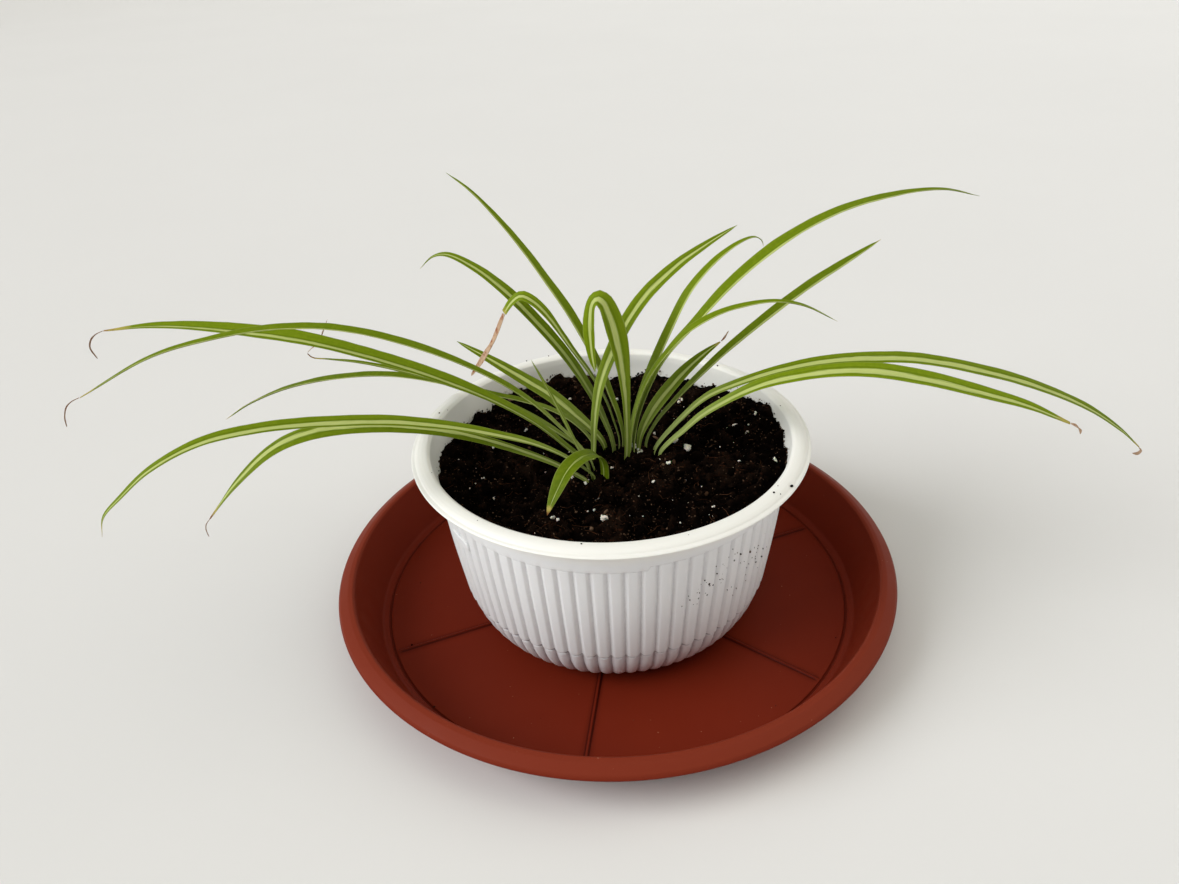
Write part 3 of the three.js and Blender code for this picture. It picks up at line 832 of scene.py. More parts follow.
def make_pot_mark():
    """The small raised bar under the band, with round ends: bare, with nothing on it."""
    columns = 40
    ring = np.linspace(0, 2 * np.pi, columns, endpoint=False)
    rows = []
    for size, lift in ((1.0, -0.8), (1.0, 0.35), (0.97, 0.62), (0.9, 0.75), (0.6, 0.8), (0.3, 0.8)):
        along = MARK_HALF_LONG * np.sign(np.cos(ring)) * np.abs(np.cos(ring)) ** 0.45 * size
        up = MARK_HALF_HIGH * np.sign(np.sin(ring)) * np.abs(np.sin(ring)) ** 0.6 * size
        height = MARK_HEIGHT + up
        radius = pot_wall_radius(height) + lift * MARK_PROUD
        rows.append(circle_row(radius, np.radians(MARK_ANGLE) + along / radius, height))
    points = np.vstack([*rows, rows[0].mean(0), rows[-1].mean(0)])
    faces = turned_faces(len(rows), columns)
    values = {name: np.zeros(len(points)) for name in ("shade_and_grime", "soiled", "rim")}
    add_piece("pot_mark", points, faces, POT_PLASTIC, values=values)


# ------------------------------------------------------------------ soil
# the middle of each crown, and its half sizes along X and Y
CROWNS = {
    "crown_front_left": ((-8, -19), (8, 11.5)),
    "crown_back_left": ((-7.5, 3), (7.5, 9.5)),
    "crown_middle": ((8.3, 1), (7.3, 9)),
    "crown_right": ((22, 2.5), (5.3, 7.5)),
}

# (x, y, radius, depth) of the hollows in the soil, and of a mound along the wall
SOIL_HOLLOWS = [
    (-44, -30, 15, 3.2), (16, -52, 10, 1.8), (52, -34, 12, 2.0), (-40, 30, 12, 1.5),
    (76, 34, 22, -4.5),
]


def soil_level(x, y):
    """Height of the soil without its clods: the part's own relief, with hollows and a mound."""
    lumps = np.sin(x * 0.13 + 1.3) * np.cos(y * 0.11 - 0.4) + 0.7 * np.sin(x * 0.29 + y * 0.21)
    bank = np.maximum(0, x - SOIL_RISE_START) / (SOIL_RADIUS - SOIL_RISE_START)
    level = SOIL_LEVEL + SOIL_LUMP * lumps + SOIL_RISE * bank**2
    for cx, cy, radius, depth in SOIL_HOLLOWS:
        level = level - depth * np.exp(-((x - cx) ** 2 + (y - cy) ** 2) / radius**2)
    return level


def soil_clumps(x, y):
    """Height of the clods and crumbs over the soil's level."""
    flat = np.stack([x, y, np.zeros_like(x)], axis=-1).reshape(-1, 3)
    bent = flat + 2.5 * np.stack([noise(flat, 9, 18), noise(flat, 9, 19), 0 * flat[:, 0]], -1)
    clods = 2.2 * noise(bent, 14, 11) + 4.0 * (0.4 - np.abs(noise(bent, 8.5, 12)))
    crumbs = 2.2 * (0.4 - np.abs(noise(bent, 3.8, 13))) + 0.9 * noise(flat, 1.9, 14)
    return (clods + crumbs).reshape(np.shape(x))


def soil_height(x, y):
    x, y = np.asarray(x, float), np.asarray(y, float)
    return np.minimum(soil_level(x, y) + soil_clumps(x, y), SOIL_TOP_LIMIT)


def disc_grid(side):
    """A square grid of points pressed into a unit disc."""
    a, b = np.meshgrid(np.linspace(-1, 1, side), np.linspace(-1, 1, side))
    wide = np.abs(a) >= np.abs(b)
    radius = np.where(wide, a, b)
    with np.errstate(divide="ignore", invalid="ignore"):
        angle = np.where(wide, np.pi / 4 * b / a, np.pi / 2 - np.pi / 4 * a / b)
    angle = np.nan_to_num(angle)
    return radius * np.cos(angle), radius * np.sin(angle)


def make_soil():
    x, y = disc_grid(SOIL_GRID)
    x, y = x.ravel() * SOIL_RADIUS, y.ravel() * SOIL_RADIUS
    z = soil_height(x, y)
    # at its edge the soil keeps to the sloping wall
    widen = 1 + (z - INNER_WALL_Z) * INNER_WALL_SLOPE / INNER_WALL_RADIUS
    far = np.hypot(x, y) / SOIL_RADIUS
    grow = 1 + (widen * INNER_WALL_RADIUS / SOIL_RADIUS - 1) * smoothstep(0.9, 1, far)
    flat = np.stack([x, y, z], -1)
    inside = 1 - smoothstep(0.96, 1, far)
    x = x * grow + 0.7 * noise(flat, 3.5, 15) * inside
    y = y * grow + 0.7 * noise(flat, 3.5, 16) * inside
    top = np.stack([x, y, z], -1)
    number = np.arange(len(top)).reshape(SOIL_GRID, SOIL_GRID)
    border = np.concatenate([number[0, :-1], number[:-1, -1], number[-1, :0:-1], number[:0:-1, 0]])
    skirt = top[border] * [0.93, 0.93, 0] + [0, 0, SOIL_UNDERSIDE]
    points = np.vstack([top, skirt, [[0, 0, SOIL_UNDERSIDE]]])
    below = len(top) + np.arange(len(border))
    sides = np.stack([border, below, np.roll(below, -1), np.roll(border, -1)], -1)
    bottom = fan_faces(below, len(points) - 1, flip=True)
    faces = [grid_faces(SOIL_GRID, SOIL_GRID, wrap_columns=False), sides, bottom]
    raised = soil_clumps(points[:, 0], points[:, 1])
    # painted shade: the soil is painted darker in its pits and lighter on its raised clods, with a
    # random tone over it
    shade = np.clip(0.42 + 0.17 * raised + 0.15 * noise(points, 5, 17), 0, 1)
    add_piece("soil_bed", points, faces, PEAT, replaces=["soil"], values={"shade": shade})


def soil_places(rng, count, reach):
    """Random places on the soil surface."""
    radius = reach * np.sqrt(rng.uniform(0, 1, count))
    angle = rng.uniform(0, 2 * np.pi, count)
    x, y = radius * np.cos(angle), radius * np.sin(angle)
    return np.stack([x, y, soil_height(x, y)], -1)


def make_crumbs():
    """Lumps, clods and crumbs of peat and chips of bark on the soil, in a piece for each kind."""
    rng = np.random.default_rng(21)
    roots = np.array([leaf["root"] for leaf in LEAVES.values()])
    for name, count, small, large, detail, rough, squash, material in (
        ("soil_lumps", 90, 4.0, 8.0, 3, 0.75, (0.45, 1), CLOD),
        ("soil_clods", 1100, 1.6, 4.6, 2, 0.75, (0.4, 1), CLOD),
        ("soil_crumbs", 9400, 0.6, 2.0, 1, 0.6, (0.35, 1), CRUMB),
        ("soil_chips", 80, 1.2, 4.2, 2, 0.4, (0.12, 1), CHIP),
    ):
        where = soil_places(rng, count, 87.4 - large / 3)
        sizes = small + (large - small) * rng.uniform(0, 1, count) ** 2.5
        where[:, 2] += sizes * rng.uniform(-0.2, 0.22, count)
        to_leaf = np.linalg.norm(where[:, None, :2] - roots[None], axis=2).min(axis=1)
        clear = to_leaf > sizes * 0.6 + 0.5
        points, faces, shade = scattered(rng, where[clear], sizes[clear], detail, rough, squash)
        if name == "soil_crumbs":
            shade = shade**1.6
        add_piece(name, points, [faces], material, values={"shade": shade})


def make_fibres():
    """Thin root and moss fibres, each a short bent strand."""
    rng = np.random.default_rng(22)
    strands, steps, sides = 380, 6, 4
    start = soil_places(rng, strands, 82)
    start[:, 2] += rng.uniform(0.0, 1.1, strands)
    heading = rng.uniform(0, 2 * np.pi, strands)
    length = rng.uniform(2.0, 11.0, strands)
    rise = rng.normal(0.0, 0.18, strands)
    points = []
    for step in range(steps):
        share = step / (steps - 1)
        thick = rng.uniform(0.10, 0.30, strands) * (1 - 0.5 * share)
        heading = heading + rng.normal(0, 0.5, strands)
        if step:
            advance = length / (steps - 1)
            start = start + circle_row(advance, heading, rise * advance)
            surface = soil_height(start[:, 0], start[:, 1])
            start[:, 2] = np.clip(start[:, 2], surface - 0.2, surface + 2.2)
        across = np.stack([-np.sin(heading), np.cos(heading), np.zeros(strands)], -1)
        for side in range(sides):
            turn = 2 * np.pi * side / sides
            offset = across * np.cos(turn) + np.array([0, 0, 1.0]) * np.sin(turn)
            points.append(start + offset * thick[:, None])
    grid = np.stack(points).reshape(steps, sides, strands, 3).transpose(2, 0, 1, 3)
    caps = [[3, 2, 1, 0], [(steps - 1) * sides + k for k in range(sides)]]
    faces = np.vstack([grid_faces(steps, sides), caps])
    shift = (np.arange(strands) * steps * sides)[:, None, None]
    shade = np.repeat(rng.uniform(0, 1, strands), steps * sides)
    faces = (faces[None] + shift).reshape(-1, 4)
    add_piece("soil_fibres", grid.reshape(-1, 3), [faces], FIBRE, values={"shade": shade})


# (x, y, size) of the larger white grains
PERLITE_GRAINS = [
    (33, 7, 4.6), (40, 3, 5.0), (13, 6, 3.2), (15, 1, 2.6), (81, -18, 2.6), (71, 9, 2.2),
    (66, 13, 2.2), (40, 50, 2.2), (24, 20, 1.8), (25, 40, 2.4), (36, -43, 2.8), (-4, -58, 3.8),
    (-28, -52, 2.4), (-26, -54, 2.0), (20, -29, 2.0), (29, -15, 2.0), (64, -16, 1.8),
    (-13, -29, 2.0), (-19, -26, 2.0), (-7, -38, 1.4), (-9, -47, 1.8), (1, -12, 1.6),
    (78, 22, 1.8), (-58, -30, 1.6), (-46, 34, 1.8), (-62, 12, 1.6), (5, 58, 2.0), (-22, 62, 1.6),
    (52, 34, 1.6), (47, -52, 1.6),
]


def make_perlite():
    rng = np.random.default_rng(23)
    named = np.array(PERLITE_GRAINS, float)
    large = np.stack([named[:, 0], named[:, 1], soil_height(named[:, 0], named[:, 1])], -1)
    large[:, 2] += named[:, 2] * 0.22
    # each one is popped open, so it is a knot of three lobes
    knot_sizes = np.repeat(named[:, 2], 3)
    apart = rng.normal(0, 0.2, (3 * len(large), 3)) * knot_sizes[:, None]
    lobes = np.repeat(large, 3, axis=0) + apart
    sizes = knot_sizes * rng.uniform(0.5, 0.85, 3 * len(large))
    points, faces, _ = scattered(rng, lobes, sizes, 3, 0.5, (0.6, 1.1))
    small = soil_places(rng, 64, 84)
    small[:, 2] += 0.3
    dots, dot_faces, _ = scattered(rng, small, rng.uniform(0.4, 1.1, len(small)), 2, 0.45)
    faces = [faces, dot_faces + len(points)]
    add_piece("soil_perlite", np.vstack([points, dots]), faces, PERLITE)


# (degrees, height, spread, how many) of the spatters of soil on the pot's wall
SPATTERS = [
    (-60.3, 67.8, 0.3, 1), (-65, 62, 3.2, 9), (-60, 66, 3.5, 9), (-54.5, 76, 3.5, 7),
    (-50.5, 80, 2.5, 6), (-47, 55, 4.5, 6), (-43, 63, 4, 6), (-38, 72, 5, 8), (-34, 62, 5, 5),
    (128, 70, 6, 4),
]
SPATTER_RADIUS = 86  # of the wall that the spatters are on
# radii and heights along the top of the rim
RIM_TOP = [
    (90.6, 105.9), (92.3, 107.1), (94.6, 107.0), (97.0, 106.2), (98.9, 104.8), (100.0, 104.2),
]
# (degrees, radius, size) of the bits that lie on the pot's rim
RIM_BITS = [
    (-98.6, 93, 1.1), (-32.5, 98.2, 2.2), (-39, 94.5, 1.1), (-35.5, 93.5, 0.6), (-38, 97, 0.6),
    (164, 94, 1.0), (161, 91.5, 0.6), (119, 96.5, 1.0), (111, 95, 0.8), (47, 92, 1.0),
    (-160, 92, 0.5), (-130, 94, 0.6), (-70, 94, 0.4), (12, 92, 0.7),
]
# (x, y, size) of the bits that lie in the saucer
SAUCER_BITS = [
    (75, -90, 0.7), (52, -93, 0.5), (-113, 12, 0.9), (-110, -39, 1.1), (-92, -83, 1.1),
    (114, -45, 1.0), (-117, 36, 0.8), (-104, -6, 0.7), (20, 105, 1.2), (-60, 96, 0.9),
    (88, 66, 1.0), (104, 30, 0.6),
    (-39, -93, 0.4), (6, -96, 0.5), (-70, -70, 0.5), (60, 92, 0.7),
]


def make_bits():
    """Bits of soil that fell on the pot and the saucer."""
    rng = np.random.default_rng(24)
    spots, sizes = [], []
    for angle, height, spread, count in SPATTERS:
        for _ in range(count):
            up = height + rng.normal(0, spread)
            turn = math.radians(angle) + rng.normal(0, spread) / SPATTER_RADIUS
            spots.append(circle_row(pot_wall_radius(up) - 0.15, turn, up))
            sizes.append(1.6 if count == 1 else 0.6 + 0.65 * rng.uniform() ** 2)
    for angle, radius, size in RIM_BITS:
        height = np.interp(radius, *np.transpose(RIM_TOP))
        spots.append(circle_row(radius, math.radians(angle), height + size * 0.15))
        sizes.append(size)
    for count, spread, small, large in ((300, 0.9, 0.5, 1.7), (40, 3.6, 0.3, 0.6)):
        for _ in range(count):
            # crumbs that cling to the inner wall over the soil
            turn = rng.uniform(0, 2 * math.pi)
            low = float(soil_height(87 * math.cos(turn), 87 * math.sin(turn)))
            up = min(low + abs(rng.normal(0, spread)), 104)
            radius = INNER_WALL_RADIUS + (up - INNER_WALL_Z) * INNER_WALL_SLOPE - 0.1
            spots.append(circle_row(radius, turn, up))
            sizes.append(rng.uniform(small, large))
    points, faces, shade = scattered(rng, np.array(spots), np.array(sizes), 2, 0.2, (0.5, 1))
    add_piece("pot_bits", points, [faces], CRUMB, values={"shade": shade})
    lying = np.array(SAUCER_BITS, float)
    where = lying * [1, 1, 0.2] + [0, 0, SAUCER_FLOOR]
    points, faces, shade = scattered(rng, where, lying[:, 2], 2, 0.25, (0.5, 1))
    add_piece("saucer_bits", points, [faces], CRUMB, values={"shade": shade})


# ------------------------------------------------------------------ leaves
# root, heading and path are the part's own, in millimetres and degrees, but for a small
# correction to leaf_top_4 and to the dry tip of leaf_top_3. The path lies in an upright plane, as
# (outward, up). width: at the widest place, which is at this share of the length. A few widths
# differ a little from the part's. fold: how steep the halves are. roll: turn about the path.
# base and tip: width at the ends, as a share. late: how late the blade widens.
# stripe: centre and half width of the cream stripe, across the blade from -1 to 1.
# dark: how dark the green is. pale: how pale the foot is. dead: share of the length where the
# blade starts to yellow. end: how dead its end is.
LEAVES = {
    "leaf_left_1": dict(
        root=(-11, -12.5), heading=171, width=10, widest=0.6, fold=15, roll=[-12],
        path=[(1, 96), (11, 106), (24, 118), (43, 130), (72, 143), (106, 154), (140, 162),
              (176, 166), (214, 167), (246, 163)],
        stripe=(0.42, 0.20), dark=0.15, dead=0.93, end=0.75, pale=0.35),
    "leaf_left_2": dict(
        root=(-8, -11), heading=180, width=8, widest=0.45, fold=28, roll=[0],
        path=[(2, 97), (8, 107), (16, 117), (28, 131), (45, 145), (67, 158), (93, 169),
              (120, 176), (147, 177), (176, 173), (207, 165), (247, 145)],
        stripe=(0.80, 0.20), dark=0.4, dead=0.95, end=0.6, pale=0.9),
    "leaf_left_3": dict(
        root=(-8, 4), heading=157, width=8, widest=0.6, fold=28, roll=[0],
        path=[(1, 98), (9, 107), (21, 113), (38, 116), (60, 117), (90, 119), (121, 118),
              (156, 111), (195, 98), (229, 81), (253, 65)],
        stripe=(0.85, 0.18), dark=0.8, dead=0.985, end=1.0, pale=0.4),
    "leaf_left_4": dict(
        root=(-12, 1), heading=169, width=5.5, widest=0.3, fold=20, roll=[0],
        path=[(2, 95), (14, 105), (34, 117), (54, 125), (75, 132), (95, 137), (117, 140.5),
              (134, 141.5), (143, 142), (145, 144)],
        stripe=(0.3, 0.25), dark=0.4, dead=0.93, end=0.9),
    "leaf_left_5": dict(
        root=(-7.5, -22), heading=199, width=7.4, widest=0.5, fold=15, roll=[-14],
        path=[(1, 95), (6, 101), (15, 110), (28, 120), (46, 130), (68, 140), (94, 149),
              (123, 155), (148, 158), (172, 157), (194, 149), (208, 139), (217, 131), (220, 122)],
        stripe=(0.30, 0.38), dark=0.25, dead=0.975, end=0.8, pale=0.6),
    "leaf_left_6": dict(
        root=(-11, -27), heading=191, width=8, widest=0.8, tip=0.3, fold=15,
        roll=[-28, -28, -28, 5],
        path=[(1, 95), (6, 100), (16, 108), (32, 118), (55, 130), (78, 138), (103, 143),
              (125, 143), (143, 137), (162, 122), (177, 106)],
        stripe=(-0.22, 0.28), dark=0.35, dead=0.965, end=1.0),
    "leaf_left_7": dict(
        root=(-2, 7), heading=153, width=8, widest=0.4, fold=15, roll=[-25],
        path=[(2, 96), (9, 103), (19, 110), (32, 118), (49, 125), (67, 132), (87, 139)],
        stripe=(0.0, 0.24), dark=0.6, pale=0.3),
    "leaf_left_8": dict(
        root=(-9, -17.5), heading=184, width=5, widest=0.4, fold=20, roll=[-10],
        path=[(3, 100), (8, 112), (13, 126), (19, 142), (26, 159)],
        stripe=(0.1, 0.3), dark=0.2, pale=0.7),
    "leaf_left_9": dict(
        root=(-4, -20), heading=235, width=9, widest=0.6, fold=12, roll=[-20, -10, 0], base=0.75,
        path=[(-1, 95), (0, 102), (5, 109), (14, 113.5), (24, 114.5), (32, 112), (38, 107),
              (43, 102), (46, 98)],
        stripe=(0.1, 0.02), dark=0.75, dead=0.93, end=0.9, pale=0.0),
    "leaf_top_1": dict(
        root=(6.4, 5.5), heading=155, width=7.5, widest=0.35, fold=25, roll=[0],
        path=[(-0.5, 100), (2, 113), (5, 122), (10, 136), (17, 150), (27, 167), (41, 186),
              (58, 206), (75, 222), (88, 230)],
        stripe=(0.75, 0.25), dark=0.3, pale=0.3),
    "leaf_top_2": dict(
        root=(2.2, 3.5), heading=160, width=7.5, widest=0.5, fold=15, roll=[-25, -20, -15],
        path=[(1, 99), (5, 111), (11, 125), (22, 143), (38, 162), (55, 178), (70, 188), (84, 193),
              (92, 191), (100, 184)],
        stripe=(0.1, 0.26), dark=0.3, dead=0.985, end=0.6, pale=0.7),
    "leaf_top_3": dict(
        root=(4.4, 5), heading=171, width=6, widest=0.8, fold=15, roll=[0, 0, -10, -50], tip=0.6,
        path=[(-0.5, 99), (2, 110), (6, 123), (13, 137), (22, 151), (33, 169), (40, 176),
              (45, 178), (50, 174.5), (54, 169)],
        stripe=(0.1, 0.3), dark=0.1, dead=0.97, end=0.4, pale=0.8),
    "leaf_top_4": dict(
        root=(8, -4.5), heading=172, width=10, widest=0.6, fold=10, tip=0.25, late=5.0,
        roll=[-65, -70, -72, -72, -66, -25, -62, -58],
        path=[(-1, 104), (-1, 118), (-0.8, 130), (0, 144), (1.2, 155), (3, 165), (5.4, 173.5),
              (8, 179.5), (11.3, 181.6), (14, 179), (15.6, 171), (16, 163), (15.4, 153),
              (14, 143)],
        stripe=(0.18, 0.30), dark=0.15, pale=0.3),
    "leaf_right_1": dict(
        root=(-9, -2.5), heading=42, width=8, widest=0.55, fold=15, roll=[20, 15, 10],
        path=[(1, 100), (2, 112), (4, 123), (7, 133), (13, 144), (24, 158), (39, 170), (61, 179),
              (83, 184), (108, 188)],
        stripe=(-0.05, 0.26), dark=0.3, pale=0.4),
    "leaf_right_2": dict(
        root=(9, 6), heading=30, width=6.5, widest=0.4, fold=28, roll=[5],
        path=[(2, 100), (5, 111), (10, 123), (17, 137), (26, 153), (39, 172), (55, 184),
              (71, 190), (79, 190), (83, 187), (84, 184)],
        stripe=(-0.75, 0.22), dark=0.3, dead=0.985, end=0.7),
    "leaf_right_3": dict(
        root=(11.9, 0.5), heading=25, width=8, widest=0.5, fold=25, roll=[5], base=0.3, late=1.9,
        path=[(1, 103), (4, 116), (10, 130), (19, 144), (34, 157), (55, 174), (84, 190),
              (119, 200), (156, 202), (187, 199), (212, 191)],
        stripe=(-0.75, 0.2), dark=0.35, pale=0.4),
    "leaf_right_4": dict(
        root=(19, 5), heading=28, width=6.6, widest=0.68, fold=20, roll=[10], base=0.3, late=1.8,
        path=[(0, 97), (6, 107), (18, 117), (39, 131), (63, 144), (97, 159), (121, 167),
              (147, 175)],
        stripe=(-0.7, 0.2), dark=0.45, dead=0.985, end=0.7, pale=0.8),
    "leaf_right_5": dict(
        root=(10.2, 0.5), heading=8, width=6.5, widest=0.35, fold=28, roll=[0],
        path=[(1, 103), (4, 119), (10, 135), (19, 148), (30, 159), (43, 166), (58, 169.5),
              (73, 170), (88, 166), (105, 156)],
        stripe=(-0.75, 0.22), dark=0.3, dead=0.985, end=0.6, pale=0.4),
    "leaf_right_6": dict(
        root=(14.2, 1.5), heading=25, width=8, widest=0.5, fold=15, roll=[0, 20, 20],
        path=[(2, 103), (8, 114), (17, 124), (29, 134), (40, 140.5), (48, 144)],
        stripe=(-0.05, 0.24), dark=0.55, dead=0.94, end=0.6, pale=0.3),
    "leaf_right_7": dict(
        root=(25, -0.5), heading=-7, width=9.5, widest=0.65, fold=12, roll=[22],
        path=[(1, 94), (6, 100.5), (12, 106.5), (20.5, 115.5), (32.5, 124.5), (45, 132),
              (57.5, 137), (80, 142), (101, 143), (124, 139.5), (155, 131.5), (176, 125),
              (196, 116)],
        stripe=(-0.18, 0.33), dark=0.15, dead=0.965, end=0.6, pale=0.9),
    "leaf_right_8": dict(
        root=(21.5, 2.5), heading=3, width=8.5, widest=0.6, fold=14, roll=[20],
        path=[(2.3, 95), (6, 100.5), (11, 106.5), (16, 112), (23, 119), (30, 124), (41, 128.5),
              (52, 132), (65.5, 135.5), (87.5, 138.5), (110, 138.5), (132, 136.5), (162, 129),
              (198, 116), (227.5, 101), (248.5, 86), (261.6, 74)],
        stripe=(-0.15, 0.36), dark=0.3, dead=0.985, end=0.8, pale=1.0),
}

# The dead ends, in the plane of the leaf each one belongs to. dark: how black they are.
DRY_TIPS = {
    "leaf_left_1": dict(
        width=1.6, dark=0.55,
        path=[(246.8, 162.8), (251, 161), (255, 157.5), (257, 153), (255, 147)]),
    "leaf_left_2": dict(
        width=1.8, dark=0.5,
        path=[(247.8, 144.8), (252, 143), (255.5, 140), (258, 135), (259, 129)]),
    "leaf_left_4": dict(
        width=1.2, dark=0.2,
        path=[(144.8, 144.9), (142.5, 147), (139, 149.5), (136, 153), (134, 157), (130, 164)]),
    "leaf_left_6": dict(
        width=1.4, dark=0.45,
        path=[(177.6, 105.2), (179.5, 103), (180.3, 100), (180, 96)]),
    "leaf_top_3": dict(
        width=4.3, dark=0.04, roll=[-50, -35, -40, -45],
        path=[(54.3, 168), (57, 162), (61, 153.5), (66, 145.5), (72, 137), (74.6, 133.6)]),
    "leaf_right_6": dict(
        width=1.5, dark=0.3,
        path=[(48.8, 144.3), (50.5, 145.6), (53, 149)]),
    "leaf_right_7": dict(
        width=3, dark=0.15,
        path=[(196.8, 115.6), (199, 114.6), (201, 113), (202, 110)]),
    "leaf_right_8": dict(
        width=2.2, dark=0.3,
        path=[(261.9, 73.4), (263, 71.8), (261.7, 70.1), (258.7, 70.4)]),
}


def leaf_width(leaf, u):
    """Width of a blade at the share u of its length."""
    widest, tip = leaf["widest"], leaf.get("tip", 0.1)
    base = leaf.get("base", BASE_WIDTH)
    grown = np.sin(np.clip(u / widest, 0, 1) * math.pi / 2) ** leaf.get("late", LATE_WIDENING)
    rise = base + (1 - base) * grown
    fall = 1 + (tip - 1) * np.clip((u - widest) / (1 - widest), 0, 1) ** 2.2
    return leaf["width"] * np.where(u < widest, rise, fall)


def leaf_line(leaf, path):
    """The leaf's line in space through the points of a path, and the level side of its plane."""
    heading = math.radians(leaf["heading"])
    ahead = np.array([math.cos(heading), math.sin(heading), 0])
    side = np.array([-math.sin(heading), math.cos(heading), 0])
    flat = curve_through(path)
    return np.array([*leaf["root"], 0]) + flat[:, :1] * ahead + flat[:, 1:] * [0, 0, 1], side


def blade_mesh(leaf, number, step=2.0, half_section=8, crumple=0.0, point_tip=True):
    """A thin blade with a folded, veined section on the leaf's midrib."""
    line, side = leaf_line(leaf, leaf["path"])
    long = np.linalg.norm(np.diff(line, axis=0), axis=1).sum()
    count = max(12, round(long / step))
    spine, tangent, at = walk(line, count)
    u = at / at[-1]

    roll = np.radians(np.interp(u, np.linspace(0, 1, len(leaf["roll"])), leaf["roll"]))
    seed_at = np.stack([at, np.full(count, number * 37.0), np.zeros(count)], -1)
    roll = roll + 0.07 * noise(seed_at, 45, 31) + 0.6 * crumple * noise(seed_at, 6, 32)
    upper = np.cross(tangent, side)
    upper /= np.linalg.norm(upper, axis=1, keepdims=True)
    lean_across = side * np.cos(roll)[:, None] + upper * np.sin(roll)[:, None]
    lean_upper = upper * np.cos(roll)[:, None] - side * np.sin(roll)[:, None]

    width = leaf_width(leaf, u)
    if point_tip:
        width = width * np.clip((1.004 - u) / POINT_LENGTH, 0.02, 1) ** 0.7
    half = width / 2
    opening = np.minimum(1, 0.25 + u / FOLD_LENGTH)
    clasp = math.radians(16) * (1 - smoothstep(0, 0.3, u))
    fold = np.radians(leaf["fold"]) * opening + clasp

    s = np.sin(np.linspace(-1, 1, 2 * half_section + 1) * math.pi / 2)
    s = 0.5 * s + 0.5 * np.linspace(-1, 1, len(s))
    valley = np.sqrt(s**2 + 0.012) - 0.5
    lift = half[:, None] * np.sin(fold)[:, None] * valley[None]
    lift -= EDGE_CURL * half[:, None] * np.abs(s[None]) ** 4
    for end in (-1, 1):
        wave_at = seed_at + [0, 11.0 * end, 0]
        wave = 0.22 * noise(wave_at, 17, 33) + 0.10 * noise(wave_at, 6, 34)
        wave = wave + crumple * 1.2 * noise(wave_at, 4, 35)
        near_end = np.clip(end * s, 0, 1) ** 2
        lift += (wave * np.minimum(1, half / 3))[:, None] * near_end[None]
    lateral = half[:, None] * np.cos(fold)[:, None] * s[None]
    ribs = VEIN_HEIGHT * np.cos(s * half_section * math.pi)
    thick = LEAF_THICKNESS * (0.35 + 0.65 * np.sqrt(np.clip(1 - s**2, 0, 1)))
    thick = thick[None] * np.minimum(1, half / 1.2)[:, None]
    sheets = []
    for level in (lift + thick / 2 + ribs, lift - thick / 2 + ribs):
        sheet = spine[:, None] + lean_across[:, None] * lateral[..., None]
        sheets.append(sheet + lean_upper[:, None] * level[..., None])
    top, under = sheets
    ring = np.concatenate([top, under[:, -2:0:-1]], axis=1)
    ring_s = np.concatenate([s, s[-2:0:-1]])
    rows, columns = ring.shape[:2]
    ends = [spine[0], spine[-1] + tangent[-1] * 0.3]
    points = np.vstack([ring.reshape(-1, 3), ends])

    def spread(numbers, first, last):
        return np.append(np.broadcast_to(numbers, (rows, columns)).ravel(), [first, last])

    dead = leaf.get("end", 0) * smoothstep(leaf.get("dead", 2) - 0.03, 1.02, u)
    centre, cream_half = leaf.get("stripe", (0, 0))
    tight = 1 - 0.25 * smoothstep(0.6, 1, u)
    blade = np.stack([
        spread(ring_s[None], 0, 0),
        spread(at[:, None], at[0], at[-1]),
        spread(half[:, None], half[0], half[-1]),
    ], -1)
    stripe = np.stack([
        spread(centre, centre, centre),
        spread((cream_half * tight)[:, None], cream_half, 0),
        spread(dead[:, None], 0, dead[-1]),
    ], -1)
    own, dark = number * 0.37, leaf["dark"]
    tone = np.stack([
        spread(own, own, own),
        spread(dark, dark, dark),
        spread(leaf.get("pale", 0.5), 0.5, 0),
    ], -1)
    values = {"blade": blade, "stripe": stripe, "tone": tone}
    return points, turned_faces(rows, columns), values


def make_leaves():
    for number, (name, leaf) in enumerate(LEAVES.items()):
        shape = dict(leaf, path=[(0, CROWN_TOP), *leaf["path"]])
        has_dry_tip = name in DRY_TIPS
        if has_dry_tip and "tip" not in shape:
            shape["tip"] = 0.6 * DRY_TIPS[name]["width"] / leaf["width"]
        points, faces, values = blade_mesh(shape, number, point_tip=not has_dry_tip)
        add_piece(name + "_blade", points, faces, LEAF, replaces=[name], values=values)
    for number, (name, end) in enumerate(DRY_TIPS.items()):
        leaf = LEAVES[name]
        usual = dict(widest=0.45, base=0.6, tip=0.3, fold=25, roll=[0, 14, -20, 10])
        shape = {**usual, "root": leaf["root"], "heading": leaf["heading"], **end}
        number += DRY_TIP_NUMBERS
        points, faces, values = blade_mesh(shape, number, 0.6, half_section=4, crumple=0.35)
        node = name + "_dry_tip"
        add_piece(node + "_curl", points, faces, DRY, replaces=[node], values=values)


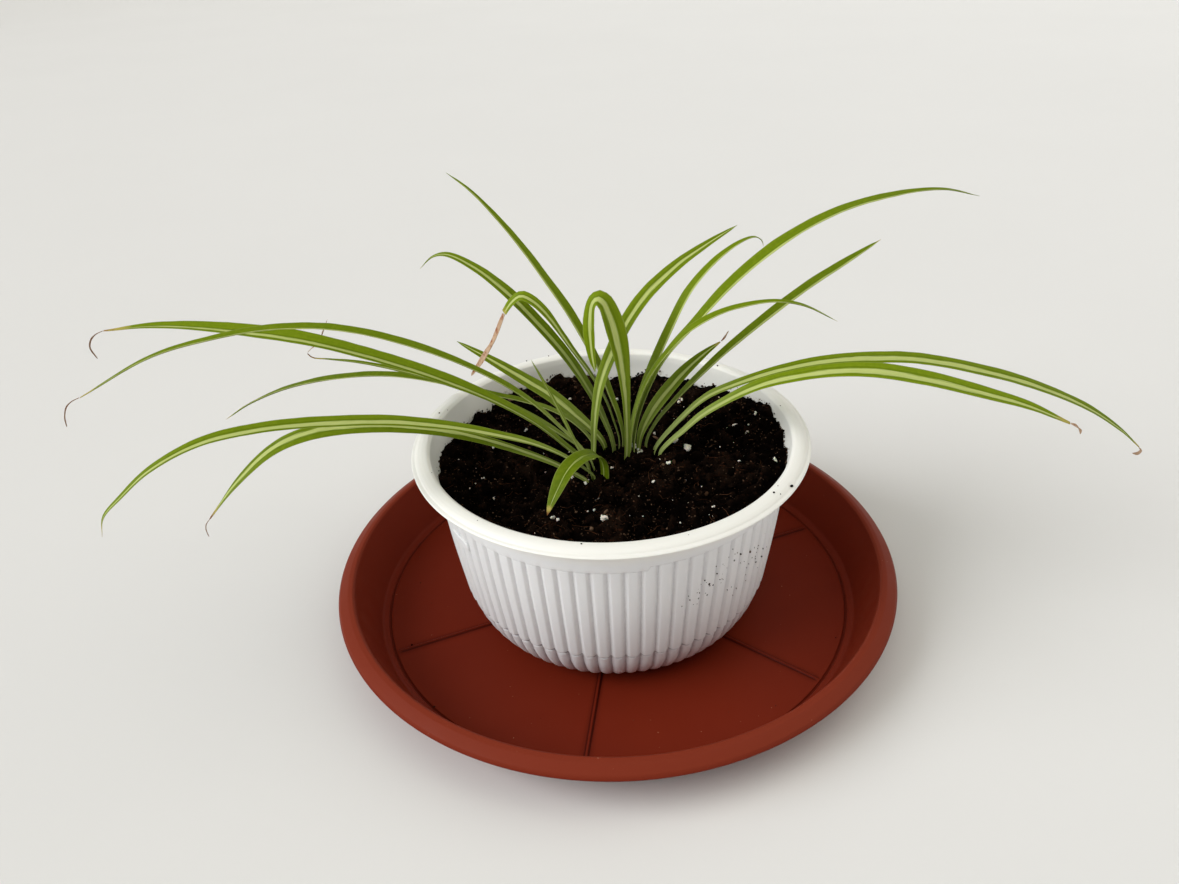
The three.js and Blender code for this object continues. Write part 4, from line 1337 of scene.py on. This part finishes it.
def make_crowns():
    """The pale swollen leaf bases of each crown, which clasp the leaves."""
    steps, sides = 9, 14
    tall, thick = 13.0, 1.25
    turn = np.linspace(0, 2 * math.pi, sides, endpoint=False)
    for crown, ((cx, cy), (hx, hy)) in CROWNS.items():
        points, faces, total = [], [], 0
        values = {"blade": [], "stripe": [], "tone": []}
        for leaf in LEAVES.values():
            x, y = leaf["root"]
            if ((x - cx) / hx) ** 2 + ((y - cy) / hy) ** 2 > 1:
                continue
            path = [(0, CROWN_TOP - 9), (0, CROWN_TOP), *leaf["path"][:3]]
            line, side = leaf_line(leaf, path)
            far = np.linalg.norm(np.diff(line, axis=0), axis=1).cumsum()
            line = line[: int(np.searchsorted(far, tall)) + 2]
            spine, tangent, at = walk(line, steps)
            upper = np.cross(tangent, side)
            swell = np.interp(at / at[-1], [0, 0.45, 0.8, 1], [1.0, 1.0, 0.62, 0.3])
            half = leaf_width(leaf, 0.0) / 2
            ring = spine[:, None]
            ring = ring + side * (np.cos(turn)[None] * (half + 0.35) * swell[:, None])[..., None]
            ring = ring + upper[:, None] * (np.sin(turn)[None] * thick * swell[:, None])[..., None]
            points.append(np.vstack([ring.reshape(-1, 3), spine[0], spine[-1]]))
            faces.extend(group + total for group in turned_faces(steps, sides))
            count = len(points[-1])
            total += count
            down = np.append(np.repeat(at, sides), [0, at[-1]])
            across = np.append(np.tile(np.cos(turn), steps), [0, 0])
            values["blade"].append(np.stack([across, down, np.full(count, half)], -1))
            values["stripe"].append(np.tile([0.0, 0.3, 0.0], (count, 1)))
            pale = 0.35 * (1 - down / at[-1])
            values["tone"].append(np.stack([np.full(count, 5.1), np.full(count, 0.1), pale], -1))
        values = {key: np.vstack(parts) for key, parts in values.items()}
        points = np.vstack(points)
        add_piece(crown + "_bases", points, faces, LEAF, replaces=[crown], values=values)


# ------------------------------------------------------------------ the whole scene
make_camera()
make_stage()
make_saucer()
make_pot()
make_pot_mark()
make_soil()
make_crumbs()
make_fibres()
make_perlite()
make_bits()
make_leaves()
make_crowns()
